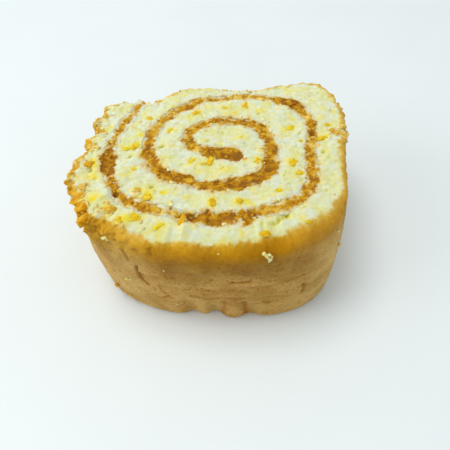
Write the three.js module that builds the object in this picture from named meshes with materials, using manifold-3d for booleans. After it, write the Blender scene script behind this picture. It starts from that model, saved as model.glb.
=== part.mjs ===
// A thick slice of rolled sponge cake, lying on one of its two cut faces.
//
// One sheet of sponge, browned on its outer side, was spread with fruit filling and rolled up. The
// slice is cut across the roll, so both cut faces show the same coil. Two solids are built: the
// sponge, with its browned skin and the crumbs stuck to its upper face, and the filling, a ribbon
// that runs through the sponge from one cut face to the other.
//
// Millimetres, +Z up. The origin is the middle of the slice's bounding box, on the face it lies on.

import * as THREE from "three";
import { mergeVertices } from "three/addons/utils/BufferGeometryUtils.js";
import Module from "manifold-3d";

const { degToRad, euclideanModulo, clamp, lerp } = THREE.MathUtils;

const wasm = await Module();
wasm.setup();

// ---------------------------------------------------------------------------------------------
// Driving dimensions
// ---------------------------------------------------------------------------------------------

const SLICE_HEIGHT = 42; // from cut face to cut face
const FIRST_RADIUS = 11.2; // from the roll's axis to the filling where its first full turn begins
const ROLL_PITCH = 10.7; // sponge and filling together, each turn
const TURNS = 2.108; // full turns of filling outside the folded core
const FILLING_THICKNESS = 3.4;
const CLEARANCE = 0.3; // between the sponge and the filling, all round

// The box that the roll was packed in squared it off: soft corners, each a share of the radius.
const CORNERS = [
  { degrees: 31, rise: 0.46 },
  { degrees: -40, rise: 0.27 },
  { degrees: -151, rise: 0.21 },
];
const CORNER_WIDTH = degToRad(30);
const ROUND_RADIUS = 8; // inside this radius the coil is a plain oval
const SQUARED_RADIUS = 44; // at this radius the corners have their full rise
const CORE_FLATNESS = 0.83; // depth over width of the coil at its core
const RIM_FLATNESS = 1.12; // the same at its rim

const LEAN = new THREE.Vector2(2, -0.7); // how far the lower face lies off the upper one
const BELLY = 0.8; // how far the side swells at mid height
const FRONT_SHOULDER = 4.5; // edge radius where the knife dragged the skin over, at the front
const SHOULDER = 1.3; // edge radius elsewhere round the upper face
const FOOT = 1.4; // edge radius round the lower face

// ---------------------------------------------------------------------------------------------
// Unevenness: bumps round the outline, smooth waves and a seeded draw
// ---------------------------------------------------------------------------------------------

const FULL_TURN = 2 * Math.PI;

const smoothstep = (from, to, value) => THREE.MathUtils.smoothstep(value, from, to);

const angleBetween = (a, b) => euclideanModulo(a - b + Math.PI, FULL_TURN) - Math.PI;

// The sum of some soft bumps round the outline, at an angle.
function bumps(list, width, angle) {
  let sum = 0;
  for (const { degrees, rise } of list) {
    const off = angleBetween(angle, degToRad(degrees)) / width;
    sum += rise * Math.exp(-(off ** 2));
  }
  return sum;
}

// A sum of waves that never line up, from -1 to 1.
const waves = (a, b, seed) =>
  (Math.sin(a + 1.7 * seed) * Math.sin(b + 2.9 * seed) +
    0.6 * Math.sin(1.83 * a - 0.71 * b + 4.1 * seed) +
    0.4 * Math.sin(0.57 * a + 2.37 * b + 5.3 * seed)) /
  2;

// A linear congruential draw, so that every build is the same.
function seededDraw(seed) {
  let state = seed;
  return (low, high) => {
    state = (state * 1664525 + 1013904223) % 2 ** 32;
    return lerp(low, high, state / 2 ** 32);
  };
}

// ---------------------------------------------------------------------------------------------
// The coil: where the roll's layers lie, seen from above
// ---------------------------------------------------------------------------------------------

function coilPoint(radius, angle) {
  const squared = clamp((radius - ROUND_RADIUS) / (SQUARED_RADIUS - ROUND_RADIUS), 0, 1);
  const swollen = radius * (1 + squared * bumps(CORNERS, CORNER_WIDTH, angle));
  const flatness = lerp(CORE_FLATNESS, RIM_FLATNESS, squared);
  return new THREE.Vector2(swollen * Math.cos(angle), swollen * flatness * Math.sin(angle));
}

// The coil's full turns start at the left and run clockwise, outwards.
const angleAt = (turn) => Math.PI - FULL_TURN * turn;
const radiusAt = (turn) => FIRST_RADIUS + ROLL_PITCH * turn;
const fillingPoint = (turn) => coilPoint(radiusAt(turn), angleAt(turn));

// The first stretch of filling lies folded in the core, and bends into the first turn.
const CORE_JOIN = 0.05; // turn at which the fold meets the coil
const CORE_STEPS = 13;
const CORE_FOLD = new THREE.CubicBezierCurve(
  new THREE.Vector2(7.5, -6.7),
  new THREE.Vector2(1, -2.8),
  new THREE.Vector2(-10.8, -3),
  fillingPoint(CORE_JOIN),
);

const COIL_STEP = 2.3; // spacing of the stations along the coil

// The roll was wound by hand, so the filling wanders in and out. Each entry is a station's number
// and how far the filling lies outside the even coil there.
const DRIFT = [
  [0, 0], [4, 0.5], [8, 1.1], [13.5, -0.9], [19, -1.3], [24, -1.3], [29, -1.5], [32, -0.7],
  [36, 0.9], [41, 0.8], [47, 0.2], [55, 0.3], [61, -0.5], [67, -1.3], [71, -0.2], [76, 0.8],
  [82, 0.7], [87, 0.1], [91, -0.8], [97, 0.4], [100, 0.3], [103.5, -0.6], [107, 0.2], [112, 0.5],
  [116, -0.3], [120.5, 1.1], [124.5, 0.1], [130, 0], [137, -0.6], [141, 0],
];

function driftAt(station) {
  const next = DRIFT.findIndex(([place]) => place > station);
  if (next < 0) return DRIFT.at(-1)[1];
  const [[low, from], [high, to]] = [DRIFT[next - 1], DRIFT[next]];
  return lerp(from, to, smoothstep(low, high, station));
}

// The direction across the line of stations, to the outer side of the coil.
function outwardAt(stations, station) {
  const before = stations[Math.max(station - 1, 0)];
  const after = stations[Math.min(station + 1, stations.length - 1)];
  return new THREE.Vector2(before.y - after.y, after.x - before.x).normalize();
}

function fillingStations(lastTurn) {
  const even = CORE_FOLD.getSpacedPoints(CORE_STEPS);
  let turn = CORE_JOIN;
  while (turn < lastTurn) {
    const step = COIL_STEP / (FULL_TURN * radiusAt(turn));
    turn = Math.min(lastTurn, turn + step);
    even.push(fillingPoint(turn));
  }
  return even.map((spot, station) =>
    spot.clone().addScaledVector(outwardAt(even, station), driftAt(station)),
  );
}

// ---------------------------------------------------------------------------------------------
// Solids: three.js geometry in, manifold-3d solid out, and back
// ---------------------------------------------------------------------------------------------

function toSolid(geometry) {
  geometry.deleteAttribute("normal");
  geometry.deleteAttribute("uv");
  const merged = mergeVertices(geometry, 1e-4);
  const index = merged.index.array;
  const faces = [];
  for (let i = 0; i < index.length; i += 3) {
    const [a, b, c] = [index[i], index[i + 1], index[i + 2]];
    if (a !== b && b !== c && c !== a) faces.push(a, b, c);
  }
  return new wasm.Manifold(
    new wasm.Mesh({
      numProp: 3,
      vertProperties: new Float32Array(merged.attributes.position.array),
      triVerts: new Uint32Array(faces),
    }),
  );
}

function toGeometry(solid) {
  const { vertProperties, triVerts } = solid.getMesh();
  const geometry = new THREE.BufferGeometry();
  geometry.setAttribute("position", new THREE.BufferAttribute(vertProperties, 3));
  geometry.setIndex(new THREE.BufferAttribute(triVerts, 1));
  geometry.computeVertexNormals();
  return geometry;
}

function reshape(geometry, place) {
  const position = geometry.attributes.position;
  const vertex = new THREE.Vector3();
  for (let i = 0; i < position.count; i++) {
    vertex.fromBufferAttribute(position, i);
    const { x, y, z } = place(vertex);
    position.setXYZ(i, x, y, z);
  }
  return geometry;
}

// ---------------------------------------------------------------------------------------------
// The roll's outer form: skin, edges and cut faces
// ---------------------------------------------------------------------------------------------

const SKIN_INSET = 2.6; // of the skin, inside the line where the next turn of filling would lie
const PRESSED = [{ degrees: 74, rise: -3.5 }]; // the last layer is pressed thinner at the back
const PRESSED_WIDTH = degToRad(28.5);
const BACK_CORNER = [{ degrees: 42, rise: 2.35 }]; // and springs out beside it, at the right
const BACK_CORNER_WIDTH = degToRad(12.3);

// The sheet's outer end, the flap, stops at the back left. Past it the layer beneath is the skin.
const FLAP_BEVEL = 0.034; // share of a turn over which the flap's slanting end falls away

function skinRadius(angle) {
  const turn = euclideanModulo((Math.PI - angle) / FULL_TURN - TURNS, 1);
  const flapEnd = ROLL_PITCH * smoothstep(1 - FLAP_BEVEL, 1, turn);
  const pressed = bumps(PRESSED, PRESSED_WIDTH, angle);
  const corner = bumps(BACK_CORNER, BACK_CORNER_WIDTH, angle);
  return radiusAt(TURNS + turn) - flapEnd + pressed + corner - SKIN_INSET;
}

// Furrows where the skin creased under its own weight, at the foot of the front.
const FURROWS = [
  { degrees: -106, rise: -1.5 },
  { degrees: -95, rise: -2.1 },
  { degrees: -77.5, rise: -1.1 },
];
const FURROW_WIDTH = degToRad(4.6);
const FURROW_HEIGHTS = [3, 18]; // where they are still full, and where they have run out

// The knife tore the skin at the left, and left crags and notches along the upper edge there.
const CRAGS = [
  { degrees: 153, rise: -1.2 },
  { degrees: 158, rise: 2 },
  { degrees: 162, rise: -0.8 },
  { degrees: 167, rise: 2.1 },
  { degrees: 173, rise: -1.9 },
  { degrees: 178, rise: 0.7 },
  { degrees: -176.5, rise: -1.9 },
  { degrees: -170.5, rise: 0.8 },
  { degrees: -162, rise: 1.7 },
  { degrees: -154, rise: 0.5 },
  { degrees: -144, rise: 1.2 },
];
const CRAG_WIDTH = degToRad(3.2);
const CRAG_HEIGHTS = [26, 39]; // where the crags begin, and where they are full

function skinRelief(angle, height) {
  const low = 1 - smoothstep(...FURROW_HEIGHTS, height);
  const high = smoothstep(...CRAG_HEIGHTS, height);
  const furrow = low * bumps(FURROWS, FURROW_WIDTH, angle);
  return furrow + high * bumps(CRAGS, CRAG_WIDTH, angle);
}

const FRONT_FACING = [0.35, 0.85]; // how squarely the skin faces the front as the shoulder grows

function shoulderRadius(angle) {
  const front = smoothstep(...FRONT_FACING, -Math.sin(angle));
  return lerp(SHOULDER, FRONT_SHOULDER, front);
}

// How far a quarter-round edge lies inside the side, at a distance from the face.
const roundedInset = (radius, distance) =>
  distance >= radius ? 0 : radius - Math.sqrt(radius ** 2 - (radius - distance) ** 2);

// The upper cut face isn't flat: the crumb springs up and sinks, and its back edge sags.
const FACE_RELIEF = 0.45;
const FACE_WAVE = 3; // length of the relief's waves, in radians
const SAG = 1.2;
const SAG_DEPTH = [18, 30]; // from the roll's axis towards the back, where it begins and is full
const SAG_MIDDLE = 4;
const SAG_REACH = 20;

function faceHeight({ x, y }) {
  const across = Math.exp(-(((x - SAG_MIDDLE) / SAG_REACH) ** 2));
  const sag = SAG * across * smoothstep(...SAG_DEPTH, y);
  const relief = FACE_RELIEF * (waves(x / FACE_WAVE, y / FACE_WAVE, 1) - 1);
  return SLICE_HEIGHT + relief - sag;
}

const leanAt = (height) => LEAN.clone().multiplyScalar(1 - height / SLICE_HEIGHT);

const SIDE_HEIGHTS = [0, 0.3, 0.9, 1.8, 5, 9, 14, 21, 29];
const SHOULDER_DROPS = [1, 0.6, 0.3, 0.08, 0]; // below the upper face, in shoulder radii
const FACE_RINGS = [0.93, 0.84, 0.74, 0.63, 0.5, 0.36, 0.2, 0];
const FACE_RADIUS = 37; // of the rings, passing into the skin's own radius towards the rim
const SKIN_SEGMENTS = 120;

// The rows of the form, from the middle of the lower face to the middle of the upper one.
const ROWS = [
  { ring: 0, height: 0 },
  ...SIDE_HEIGHTS.map((height) => ({ ring: 1, height })),
  ...SHOULDER_DROPS.map((drop) => ({ ring: 1, drop })),
  ...FACE_RINGS.map((ring) => ({ ring, drop: 0 })),
];

// Where a row crosses an angle. A row has either its height or its drop from the upper face.
function rowPoint({ ring, height, drop }, angle) {
  const shoulder = shoulderRadius(angle);
  const below = drop * shoulder;
  const nominal = height ?? SLICE_HEIGHT - below;
  const swell = BELLY * Math.sin((Math.PI * nominal) / SLICE_HEIGHT);
  const edge = roundedInset(FOOT, nominal) + roundedInset(shoulder, SLICE_HEIGHT - nominal);
  const rim = skinRadius(angle) + swell - edge + skinRelief(angle, nominal);
  const spot = coilPoint(ring * lerp(FACE_RADIUS, rim, ring ** 3), angle);
  const z = height ?? faceHeight(spot) - below;
  const { x, y } = spot.add(leanAt(z));
  return { x, y, z };
}

// A lathe of unit radius, with the row numbers for heights, moulded to the roll's real form.
function rollForm() {
  const profile = ROWS.map(({ ring }, row) => new THREE.Vector2(ring, row));
  const lathe = new THREE.LatheGeometry(profile, SKIN_SEGMENTS);
  return reshape(lathe, ({ x, y, z }) => rowPoint(ROWS[Math.round(y)], Math.atan2(-z, x)));
}

// ---------------------------------------------------------------------------------------------
// The filling: a ribbon stood on edge along the coil
// ---------------------------------------------------------------------------------------------

const THICKNESS_SPREAD = 0.16; // how much thicker or thinner the filling gets, as a share
const THICKNESS_WAVES = [2.1, 5.3]; // lengths of its waves, in stations for a radian
const CORE_RICHNESS = 0.6; // how much thicker the filling is in the first part of the fold
const RICH_STATIONS = [3, 8]; // where that thicker stretch begins to thin, and where it ends
const RIBBON_END = [0.45, 0.8]; // width of the stations nearest each end, as shares

function ribbonWidth(station, count) {
  const fromEnd = Math.min(station, count - 1 - station);
  const rounded = RIBBON_END[fromEnd] ?? 1;
  const rich = 1 + CORE_RICHNESS * (1 - smoothstep(...RICH_STATIONS, station));
  const [short, long] = THICKNESS_WAVES;
  const uneven = 1 + THICKNESS_SPREAD * waves(station / short, station / long, 2);
  return FILLING_THICKNESS * rounded * rich * uneven;
}

// A box bent along the stations. Its upper edge is a function of the place and of how far the
// place lies off the ribbon's middle, from 0 to 1.
function ribbon({ stations, margin, columns, rows, bottom, top }) {
  const last = stations.length - 1;
  const box = new THREE.BoxGeometry(1, 1, 1, last, columns, rows);
  return reshape(box, (vertex) => {
    const station = Math.round((vertex.x + 0.5) * last);
    const width = ribbonWidth(station, stations.length) + 2 * margin;
    const outward = outwardAt(stations, station);
    const spot = stations[station].clone().addScaledVector(outward, vertex.y * width);
    const z = lerp(bottom, top(spot, 2 * Math.abs(vertex.y)), vertex.z + 0.5);
    const { x, y } = spot.add(leanAt(z));
    return { x, y, z };
  });
}

const RECESS = 0.5; // of the filling, inside both cut faces
const CREST = 0.35; // how far the filling's middle stands above its edges
const END_GAP = 0.012; // between the filling's end and the flap's, as a share of a turn

const fillingForm = () =>
  ribbon({
    stations: fillingStations(TURNS - END_GAP),
    margin: 0,
    columns: 2,
    rows: 2,
    bottom: RECESS,
    top: (spot, off) => faceHeight(spot) - RECESS - off * CREST,
  });

const OVERCUT = 4; // how far the slot's cutter reaches past both cut faces
const FLAP_OVERCUT = 0.02; // and past the flap's end, as a share of a turn

const slotForm = () =>
  ribbon({
    stations: fillingStations(TURNS + FLAP_OVERCUT),
    margin: CLEARANCE,
    columns: 1,
    rows: 1,
    bottom: -OVERCUT,
    top: () => SLICE_HEIGHT + OVERCUT,
  });

// ---------------------------------------------------------------------------------------------
// Crumbs of fruit and browned skin, stuck to the upper face
// ---------------------------------------------------------------------------------------------

const CRUMB_SINK = 0.15; // how deep a crumb sits, in its radii
const CRUMB_WIDTHS = [0.8, 1.2]; // its stretch along and across, as shares of its radius
const CRUMB_DEPTHS = [0.7, 1];

function crumb(spot, radius, flatness, draw) {
  const shape = new THREE.IcosahedronGeometry(radius, 0);
  shape.scale(draw(...CRUMB_WIDTHS), draw(...CRUMB_DEPTHS), flatness);
  shape.rotateZ(draw(0, FULL_TURN));
  const z = faceHeight(spot) - CRUMB_SINK * radius;
  const { x, y } = spot.clone().add(leanAt(z));
  shape.translate(x, y, z);
  return toSolid(shape);
}

// Bits of candied fruit in the layers of sponge, each with its x, y and radius.
const FRUIT_BITS = [
  [8.7, 18.5, 1.3], [-8.2, 14.9, 1.3], [-16, 6.1, 1.1], [-23.9, 12, 1],
  [-26.8, -1.2, 1.1], [-29.8, -2.3, 1.2], [-24.2, -20.6, 1.3], [-23.7, -30.7, 1.5],
  [-16.2, -33.4, 1.3], [-2, -25.2, 1.3], [5.6, -24.5, 1.2], [-2.9, -8, 1.7],
  [-8.6, -8.3, 1], [12.2, -8.3, 1.2], [22.5, -9, 1.4], [23.4, 7.2, 1.3],
  [36.3, 8.9, 0.9], [24.3, -13.3, 1.1], [18, -20.7, 1], [12.7, -36.4, 1.2],
  [2.1, 17.2, 0.9], [7, 2.3, 0.9], [-27.7, -31.5, 1], [-26, -11.2, 0.9],
];
const FRUIT_SEED = 11;
const FRUIT_FLATNESS = 0.6;

function fruitBits() {
  const draw = seededDraw(FRUIT_SEED);
  return FRUIT_BITS.map(([x, y, radius]) =>
    crumb(new THREE.Vector2(x, y), radius, FRUIT_FLATNESS, draw),
  );
}

// Large lumps of skin and fruit lie where the knife tore the left edge, and some at the right.
const LUMPS = [
  { x: -39.7, y: -9.2, radius: 1.7 },
  { x: -40.2, y: -18.7, radius: 1.7 },
  { x: -39.4, y: -27, radius: 2 },
  { x: -38.4, y: -30.6, radius: 2 },
  { x: -31.2, y: -27.9, radius: 1.8 },
  { x: -24, y: -21, radius: 1.3 },
  { x: 38, y: 5, radius: 1.3 },
  { x: 40.6, y: 8, radius: 1.4 },
  { x: 40.4, y: 4, radius: 1.2 },
];
const LUMP_SEED = 5;
const LUMP_FLATNESS = 0.8;

function largeLumps() {
  const draw = seededDraw(LUMP_SEED);
  return LUMPS.map(({ x, y, radius }) =>
    crumb(new THREE.Vector2(x, y), radius, LUMP_FLATNESS, draw),
  );
}

// ---------------------------------------------------------------------------------------------
// The part
// ---------------------------------------------------------------------------------------------

function spongeSolid() {
  let sponge = toSolid(rollForm()).subtract(toSolid(slotForm()));
  for (const bit of [...fruitBits(), ...largeLumps()]) sponge = sponge.add(bit);
  return sponge;
}

function namedMesh(name, solid, finish) {
  const material = new THREE.MeshStandardMaterial({ metalness: 0, ...finish });
  const mesh = new THREE.Mesh(toGeometry(solid), material);
  mesh.name = name;
  return mesh;
}

const slice = new THREE.Group();
slice.add(
  namedMesh("sponge", spongeSolid(), { color: 0xe0d29a, roughness: 0.9 }),
  namedMesh("filling", toSolid(fillingForm()), { color: 0xa8741f, roughness: 0.6 }),
);

// The slice is centred over the origin by its own bounding box.
const middle = new THREE.Box3().setFromObject(slice).getCenter(new THREE.Vector3());
slice.position.set(-middle.x, -middle.y, 0);

export default slice;
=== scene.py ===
"""A thick slice of rolled sponge cake with a coil of fruit filling, lying on a cut face."""

import math

import bmesh
import bpy
import numpy as np
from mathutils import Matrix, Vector, geometry, kdtree, noise


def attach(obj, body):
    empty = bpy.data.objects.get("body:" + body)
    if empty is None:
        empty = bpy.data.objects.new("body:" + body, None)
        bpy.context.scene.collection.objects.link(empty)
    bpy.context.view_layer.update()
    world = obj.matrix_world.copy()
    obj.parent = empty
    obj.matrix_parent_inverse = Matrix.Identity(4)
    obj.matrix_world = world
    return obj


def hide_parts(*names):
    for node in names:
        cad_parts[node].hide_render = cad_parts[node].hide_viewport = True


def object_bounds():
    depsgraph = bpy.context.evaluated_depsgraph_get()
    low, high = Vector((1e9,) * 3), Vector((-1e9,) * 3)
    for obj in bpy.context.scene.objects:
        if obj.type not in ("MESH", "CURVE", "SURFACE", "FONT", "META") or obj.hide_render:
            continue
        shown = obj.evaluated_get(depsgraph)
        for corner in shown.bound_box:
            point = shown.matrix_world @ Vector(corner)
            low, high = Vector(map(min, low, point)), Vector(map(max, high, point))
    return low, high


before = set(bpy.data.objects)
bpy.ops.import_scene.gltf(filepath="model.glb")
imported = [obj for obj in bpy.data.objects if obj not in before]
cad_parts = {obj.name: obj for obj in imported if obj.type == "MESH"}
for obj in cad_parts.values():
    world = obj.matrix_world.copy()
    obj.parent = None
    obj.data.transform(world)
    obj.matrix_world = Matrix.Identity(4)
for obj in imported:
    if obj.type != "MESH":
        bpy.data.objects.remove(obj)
cad_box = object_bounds()

# ---------------------------------------------------------------------------------------------
# Sponge. One sheet of pale sponge cake, browned on its outer side, rolled up and cut across.
# Both cut faces show the open crumb in a coil, with a slot that the filling runs through. The
# skin is one with the sheet: smooth and golden at the shoulder, torn and craggy at the left.
# ---------------------------------------------------------------------------------------------

# Sizes are in millimetres, in the roll's own frame: its axis is the origin, seen from above.
MM = 0.001
ROLL_AXIS = (0.8214, 4.5041)
SLICE_HEIGHT = 42.0
FIRST_RADIUS = 11.2
ROLL_PITCH = 10.7
TURNS = 2.108
FILLING_THICKNESS = 3.4
CORNERS = ((31, 0.46), (-40, 0.27), (-151, 0.21))
CORNER_WIDTH = math.radians(30)
ROUND_RADIUS, SQUARED_RADIUS = 8, 44
CORE_FLATNESS, RIM_FLATNESS = 0.83, 1.12
# The sides lean this far from foot to face, swell at half height, and round in at the foot.
LEAN = np.array([2, -0.7])
BELLY = 0.8
FOOT = 1.4
FACE_RELIEF = 0.45
SAG_DEPTH, SAG_PLACE, SAG_WIDTH = 1.2, 4, 20


def smoothstep(low, high, value):
    share = np.clip((value - low) / (high - low), 0, 1)
    return share * share * (3 - 2 * share)


def bumps(places, width, angle):
    """Soft bumps round the roll, each a pair: its place in degrees, and how far it rises."""
    total = 0
    for degrees, rise in places:
        off = (angle - math.radians(degrees) + math.pi) % math.tau - math.pi
        total = total + rise * np.exp(-((off / width) ** 2))
    return total


def coil_point(radius, angle):
    squared = np.clip((radius - ROUND_RADIUS) / (SQUARED_RADIUS - ROUND_RADIUS), 0, 1)
    swollen = radius * (1 + squared * bumps(CORNERS, CORNER_WIDTH, angle))
    flatness = CORE_FLATNESS + (RIM_FLATNESS - CORE_FLATNESS) * squared
    return np.stack([swollen * np.cos(angle), swollen * flatness * np.sin(angle)], axis=-1)


def waves(a, b, seed):
    first = np.sin(a + 1.7 * seed) * np.sin(b + 2.9 * seed)
    second = 0.6 * np.sin(1.83 * a - 0.71 * b + 4.1 * seed)
    third = 0.4 * np.sin(0.57 * a + 2.37 * b + 5.3 * seed)
    return (first + second + third) / 2


def face_height(spots):
    """Height of the upper cut face. It undulates, and its back edge sags."""
    x, y = spots[..., 0], spots[..., 1]
    sag = SAG_DEPTH * np.exp(-(((x - SAG_PLACE) / SAG_WIDTH) ** 2)) * smoothstep(18, 30, y)
    return SLICE_HEIGHT + FACE_RELIEF * (waves(x / 3, y / 3, 1) - 1) - sag


def stand(spots, heights):
    """Places in the roll's frame as points of the slice, whose sides lean a little."""
    shift = LEAN * (1 - heights / SLICE_HEIGHT)[..., None] + np.array(ROLL_AXIS)
    return np.concatenate([spots + shift, heights[..., None]], axis=-1)


def noise_places(points, size, shift):
    """Where to read a noise for each point, so that its features have a size in millimetres."""
    flat = np.asarray(points, dtype=float).reshape(-1, points.shape[-1]) / size
    flat = np.pad(flat, ((0, 0), (0, 3 - flat.shape[1])))
    return [Vector(spot) + Vector(shift) for spot in flat]


def soft_noise(points, size, seed, octaves=3):
    """Smooth noise, about -1 to 1."""
    places = noise_places(points, size, (13.7 * seed, 5.3 * seed, 9.1 * seed))
    values = [noise.fractal(place, 0.7, 2.1, octaves) for place in places]
    return np.array(values).reshape(points.shape[:-1])


# Large uneven numbers, which turn the place of a grain into a draw that looks random.
SCATTER, SCATTER_SCALE = np.array([12.9898, 78.233, 37.719]), 43758.5453
GRAIN_REACH = 0.75


def grains(points, size, seed):
    """Rounded grains: 1 on top of each and 0 in the creases between, and a draw for each."""
    places = noise_places(points, size, (3.7 * seed, 8.3 * seed, 2.9 * seed))
    cells = [noise.voronoi(place) for place in places]
    reach = np.array([distances[0] for distances, _ in cells])
    middles = np.array([nearest_places[0] for _, nearest_places in cells])
    dome = np.clip(1 - (reach / GRAIN_REACH) ** 2, 0, 1)
    draw = (np.sin(middles @ SCATTER) * SCATTER_SCALE) % 1
    return dome.reshape(points.shape[:-1]), draw.reshape(points.shape[:-1])


def spaced(points, spacing, *values):
    """Even steps along a line of points, with the values that belong to it."""
    along = np.concatenate([[0], np.cumsum(np.hypot(*np.diff(points, axis=0).T))])
    marks = np.linspace(0, along[-1], round(along[-1] / spacing) + 1)
    return [np.interp(marks, along, column) for column in (*points.T, *values)]


def radius_at(turn):
    return FIRST_RADIUS + ROLL_PITCH * turn


def angle_at(turn):
    return math.pi - math.tau * turn


# The line of filling: folded in the core, then more than two full turns, outwards and clockwise.
# The fold is one curve, from its tip past two bends to the turn where the coil takes over.
CORE_TIP, CORE_BENDS = (7.5, -6.7), ((1, -2.8), (-10.8, -3))
CORE_JOIN = 0.05
LINE_SPACING = 0.45
# Places along the line are given as stations: so many in the fold, then one each few millimetres.
CORE_STATIONS = 13
STATION_STEP = 2.3
# The roll was wound by hand: a station's number, and how far outside the even coil it lies.
DRIFT = (
    (0, 0), (4, 0.5), (8, 1.1), (13.5, -0.9), (19, -1.3), (24, -1.3), (29, -1.5), (32, -0.7),
    (36, 0.9), (41, 0.8), (47, 0.2), (55, 0.3), (61, -0.5), (67, -1.3), (71, -0.2), (76, 0.8),
    (82, 0.7), (87, 0.1), (91, -0.8), (97, 0.4), (100, 0.3), (103.5, -0.6), (107, 0.2), (112, 0.5),
    (116, -0.3), (120.5, 1.1), (124.5, 0.1), (130, 0), (137, -0.6), (141, 0),
)


def drift_at(station):
    shift = np.zeros(len(station))
    for (low, start), (high, end) in zip(DRIFT, DRIFT[1:]):
        shift += (end - start) * smoothstep(low, high, station)
    return shift


def directions(line):
    """Unit vectors across a line of points, to the coil's outer side."""
    tangent = np.gradient(line, axis=0)
    tangent /= np.linalg.norm(tangent, axis=1, keepdims=True)
    return np.stack([-tangent[:, 1], tangent[:, 0]], axis=-1)


def filling_line():
    """Evenly spaced points along the whole line, from the core outwards, and their stations."""
    share = np.linspace(0, 1, 120)[:, None]
    rest = 1 - share
    join = coil_point(radius_at(CORE_JOIN), angle_at(CORE_JOIN))
    fold = rest**3 * CORE_TIP + 3 * rest**2 * share * CORE_BENDS[0]
    fold = fold + 3 * rest * share**2 * CORE_BENDS[1] + share**3 * join
    fold_along = np.concatenate([[0], np.cumsum(np.hypot(*np.diff(fold, axis=0).T))])
    turns = [CORE_JOIN]
    while turns[-1] < TURNS:
        turns.append(turns[-1] + STATION_STEP / (math.tau * radius_at(turns[-1])))
    fine = np.linspace(CORE_JOIN, TURNS, 2000)[1:]
    points = np.concatenate([fold, coil_point(radius_at(fine), angle_at(fine))])
    fold_station = CORE_STATIONS * fold_along / fold_along[-1]
    coil_station = CORE_STATIONS + np.interp(fine, turns, np.arange(len(turns)))
    station = np.concatenate([fold_station, coil_station])
    points += directions(points) * drift_at(station)[:, None]
    x, y, station = spaced(points, LINE_SPACING, station)
    return np.stack([x, y], axis=-1), station


line, station = filling_line()
outward = directions(line)
from_tip = LINE_SPACING * np.arange(len(line))
# The filling's half thickness: more of it in the core, uneven everywhere, and round at the tip.
rich_core = 1 + 0.6 * (1 - smoothstep(3, 8, station))
uneven_spread = 1 + 0.16 * waves(station / 2.1, station / 5.3, 2)
half_filling = FILLING_THICKNESS * rich_core * uneven_spread / 2
half_filling *= np.sqrt(1 - (1 - np.clip(from_tip / half_filling, 0, 1)) ** 2)


def tree_of(spots):
    """A tree for quick searches among flat places."""
    tree = kdtree.KDTree(len(spots))
    for number, (x, y) in enumerate(spots):
        tree.insert((x, y, 0), number)
    tree.balance()
    return tree


def nearest(tree, spots):
    """The distance from each place to the nearest one in a tree, and that one's number."""
    found = [tree.find((x, y, 0)) for x, y in spots]
    return np.array([reach for _, _, reach in found]), np.array([number for _, number, _ in found])


line_tree = tree_of(line)


def from_filling(spots):
    """Distance from the filling's edge, in mm, and the number of the nearest point of its line."""
    reach, numbers = nearest(line_tree, spots)
    return reach - half_filling[numbers], numbers


# Both sides of the slot, torn to and fro where filling and crumb have grown into each other.
RAGGED = 0.55
SLOT_CLEARANCE = 0.05


def slot_edge(side):
    edge = line + side * outward * half_filling[:, None]
    ragged = RAGGED * soft_noise(edge, 1.9, 4) + 0.3 * soft_noise(edge, 5, 9, 1)
    ragged = ragged * np.clip(from_tip / 3, 0, 1)
    return edge + side * outward * (SLOT_CLEARANCE + ragged)[:, None]


# The skin's outline. The sheet's outer end, the flap, tapers off at the back left. The back is
# pressed in, beside a corner that stands out. Furrows run up from the foot at the front, and
# crags stand at the upper edge on the left. Each is a pair: its place in degrees, and its rise.
SKIN_INSET = 2.6
FLAP_BEVEL = 0.034
PRESSED_BACK, PRESSED_WIDTH = ((74, -3.5),), math.radians(28.5)
BACK_CORNER, BACK_CORNER_WIDTH = ((42, 2.35),), math.radians(12.3)
FURROWS, FURROW_WIDTH = ((-106, -1.5), (-95, -2.1), (-77.5, -1.1)), math.radians(4.6)
FURROW_FULL, FURROW_TOP = 3, 18
CRAGS = (
    (153, -1.2), (158, 2), (162, -0.8), (167, 2.1), (173, -1.9), (178, 0.7),
    (-176.5, -1.9), (-170.5, 0.8), (-162, 1.7), (-154, 0.5), (-144, 1.2),
)
CRAG_WIDTH = math.radians(3.2)
CRAG_FOOT, CRAG_FULL = 26, 39
# The shoulder between side and upper face: sharp beside the flap, and roundest at the front.
SHARP_SHOULDER, BACK_SHOULDER, FRONT_SHOULDER = 0.5, 1.3, 4.5
# From this height up, the side goes along with the upper face's rise and fall.
FACE_REACH = 29


def outer_turn(angle):
    """How far round the outer turn a place is: 0 under the flap, and 1 at the flap's tip."""
    return ((math.pi - angle) / math.tau - TURNS) % 1


def skin_radius(angle):
    turn = outer_turn(angle)
    flap_end = ROLL_PITCH * smoothstep(1 - FLAP_BEVEL, 1, turn)
    pressed = bumps(PRESSED_BACK, PRESSED_WIDTH, angle)
    corner = bumps(BACK_CORNER, BACK_CORNER_WIDTH, angle)
    return radius_at(TURNS + turn) - flap_end + pressed + corner - SKIN_INSET


def skin_relief(angle, height):
    low = 1 - smoothstep(FURROW_FULL, FURROW_TOP, height)
    high = smoothstep(CRAG_FOOT, CRAG_FULL, height)
    return low * bumps(FURROWS, FURROW_WIDTH, angle) + high * bumps(CRAGS, CRAG_WIDTH, angle)


def shoulder_radius(angle):
    turn = outer_turn(angle)
    beside_flap = smoothstep(0, 0.016, turn) * (1 - smoothstep(0.955, 0.98, turn))
    front = smoothstep(0.35, 0.85, -np.sin(angle))
    full = BACK_SHOULDER + (FRONT_SHOULDER - BACK_SHOULDER) * front
    return SHARP_SHOULDER + (full - SHARP_SHOULDER) * beside_flap


def rounded_inset(radius, distance):
    """How far a rounded edge lies in from the side, at a distance from the face it meets."""
    left = np.clip(radius - distance, 0, radius)
    return radius - np.sqrt(radius**2 - left**2)


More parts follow.
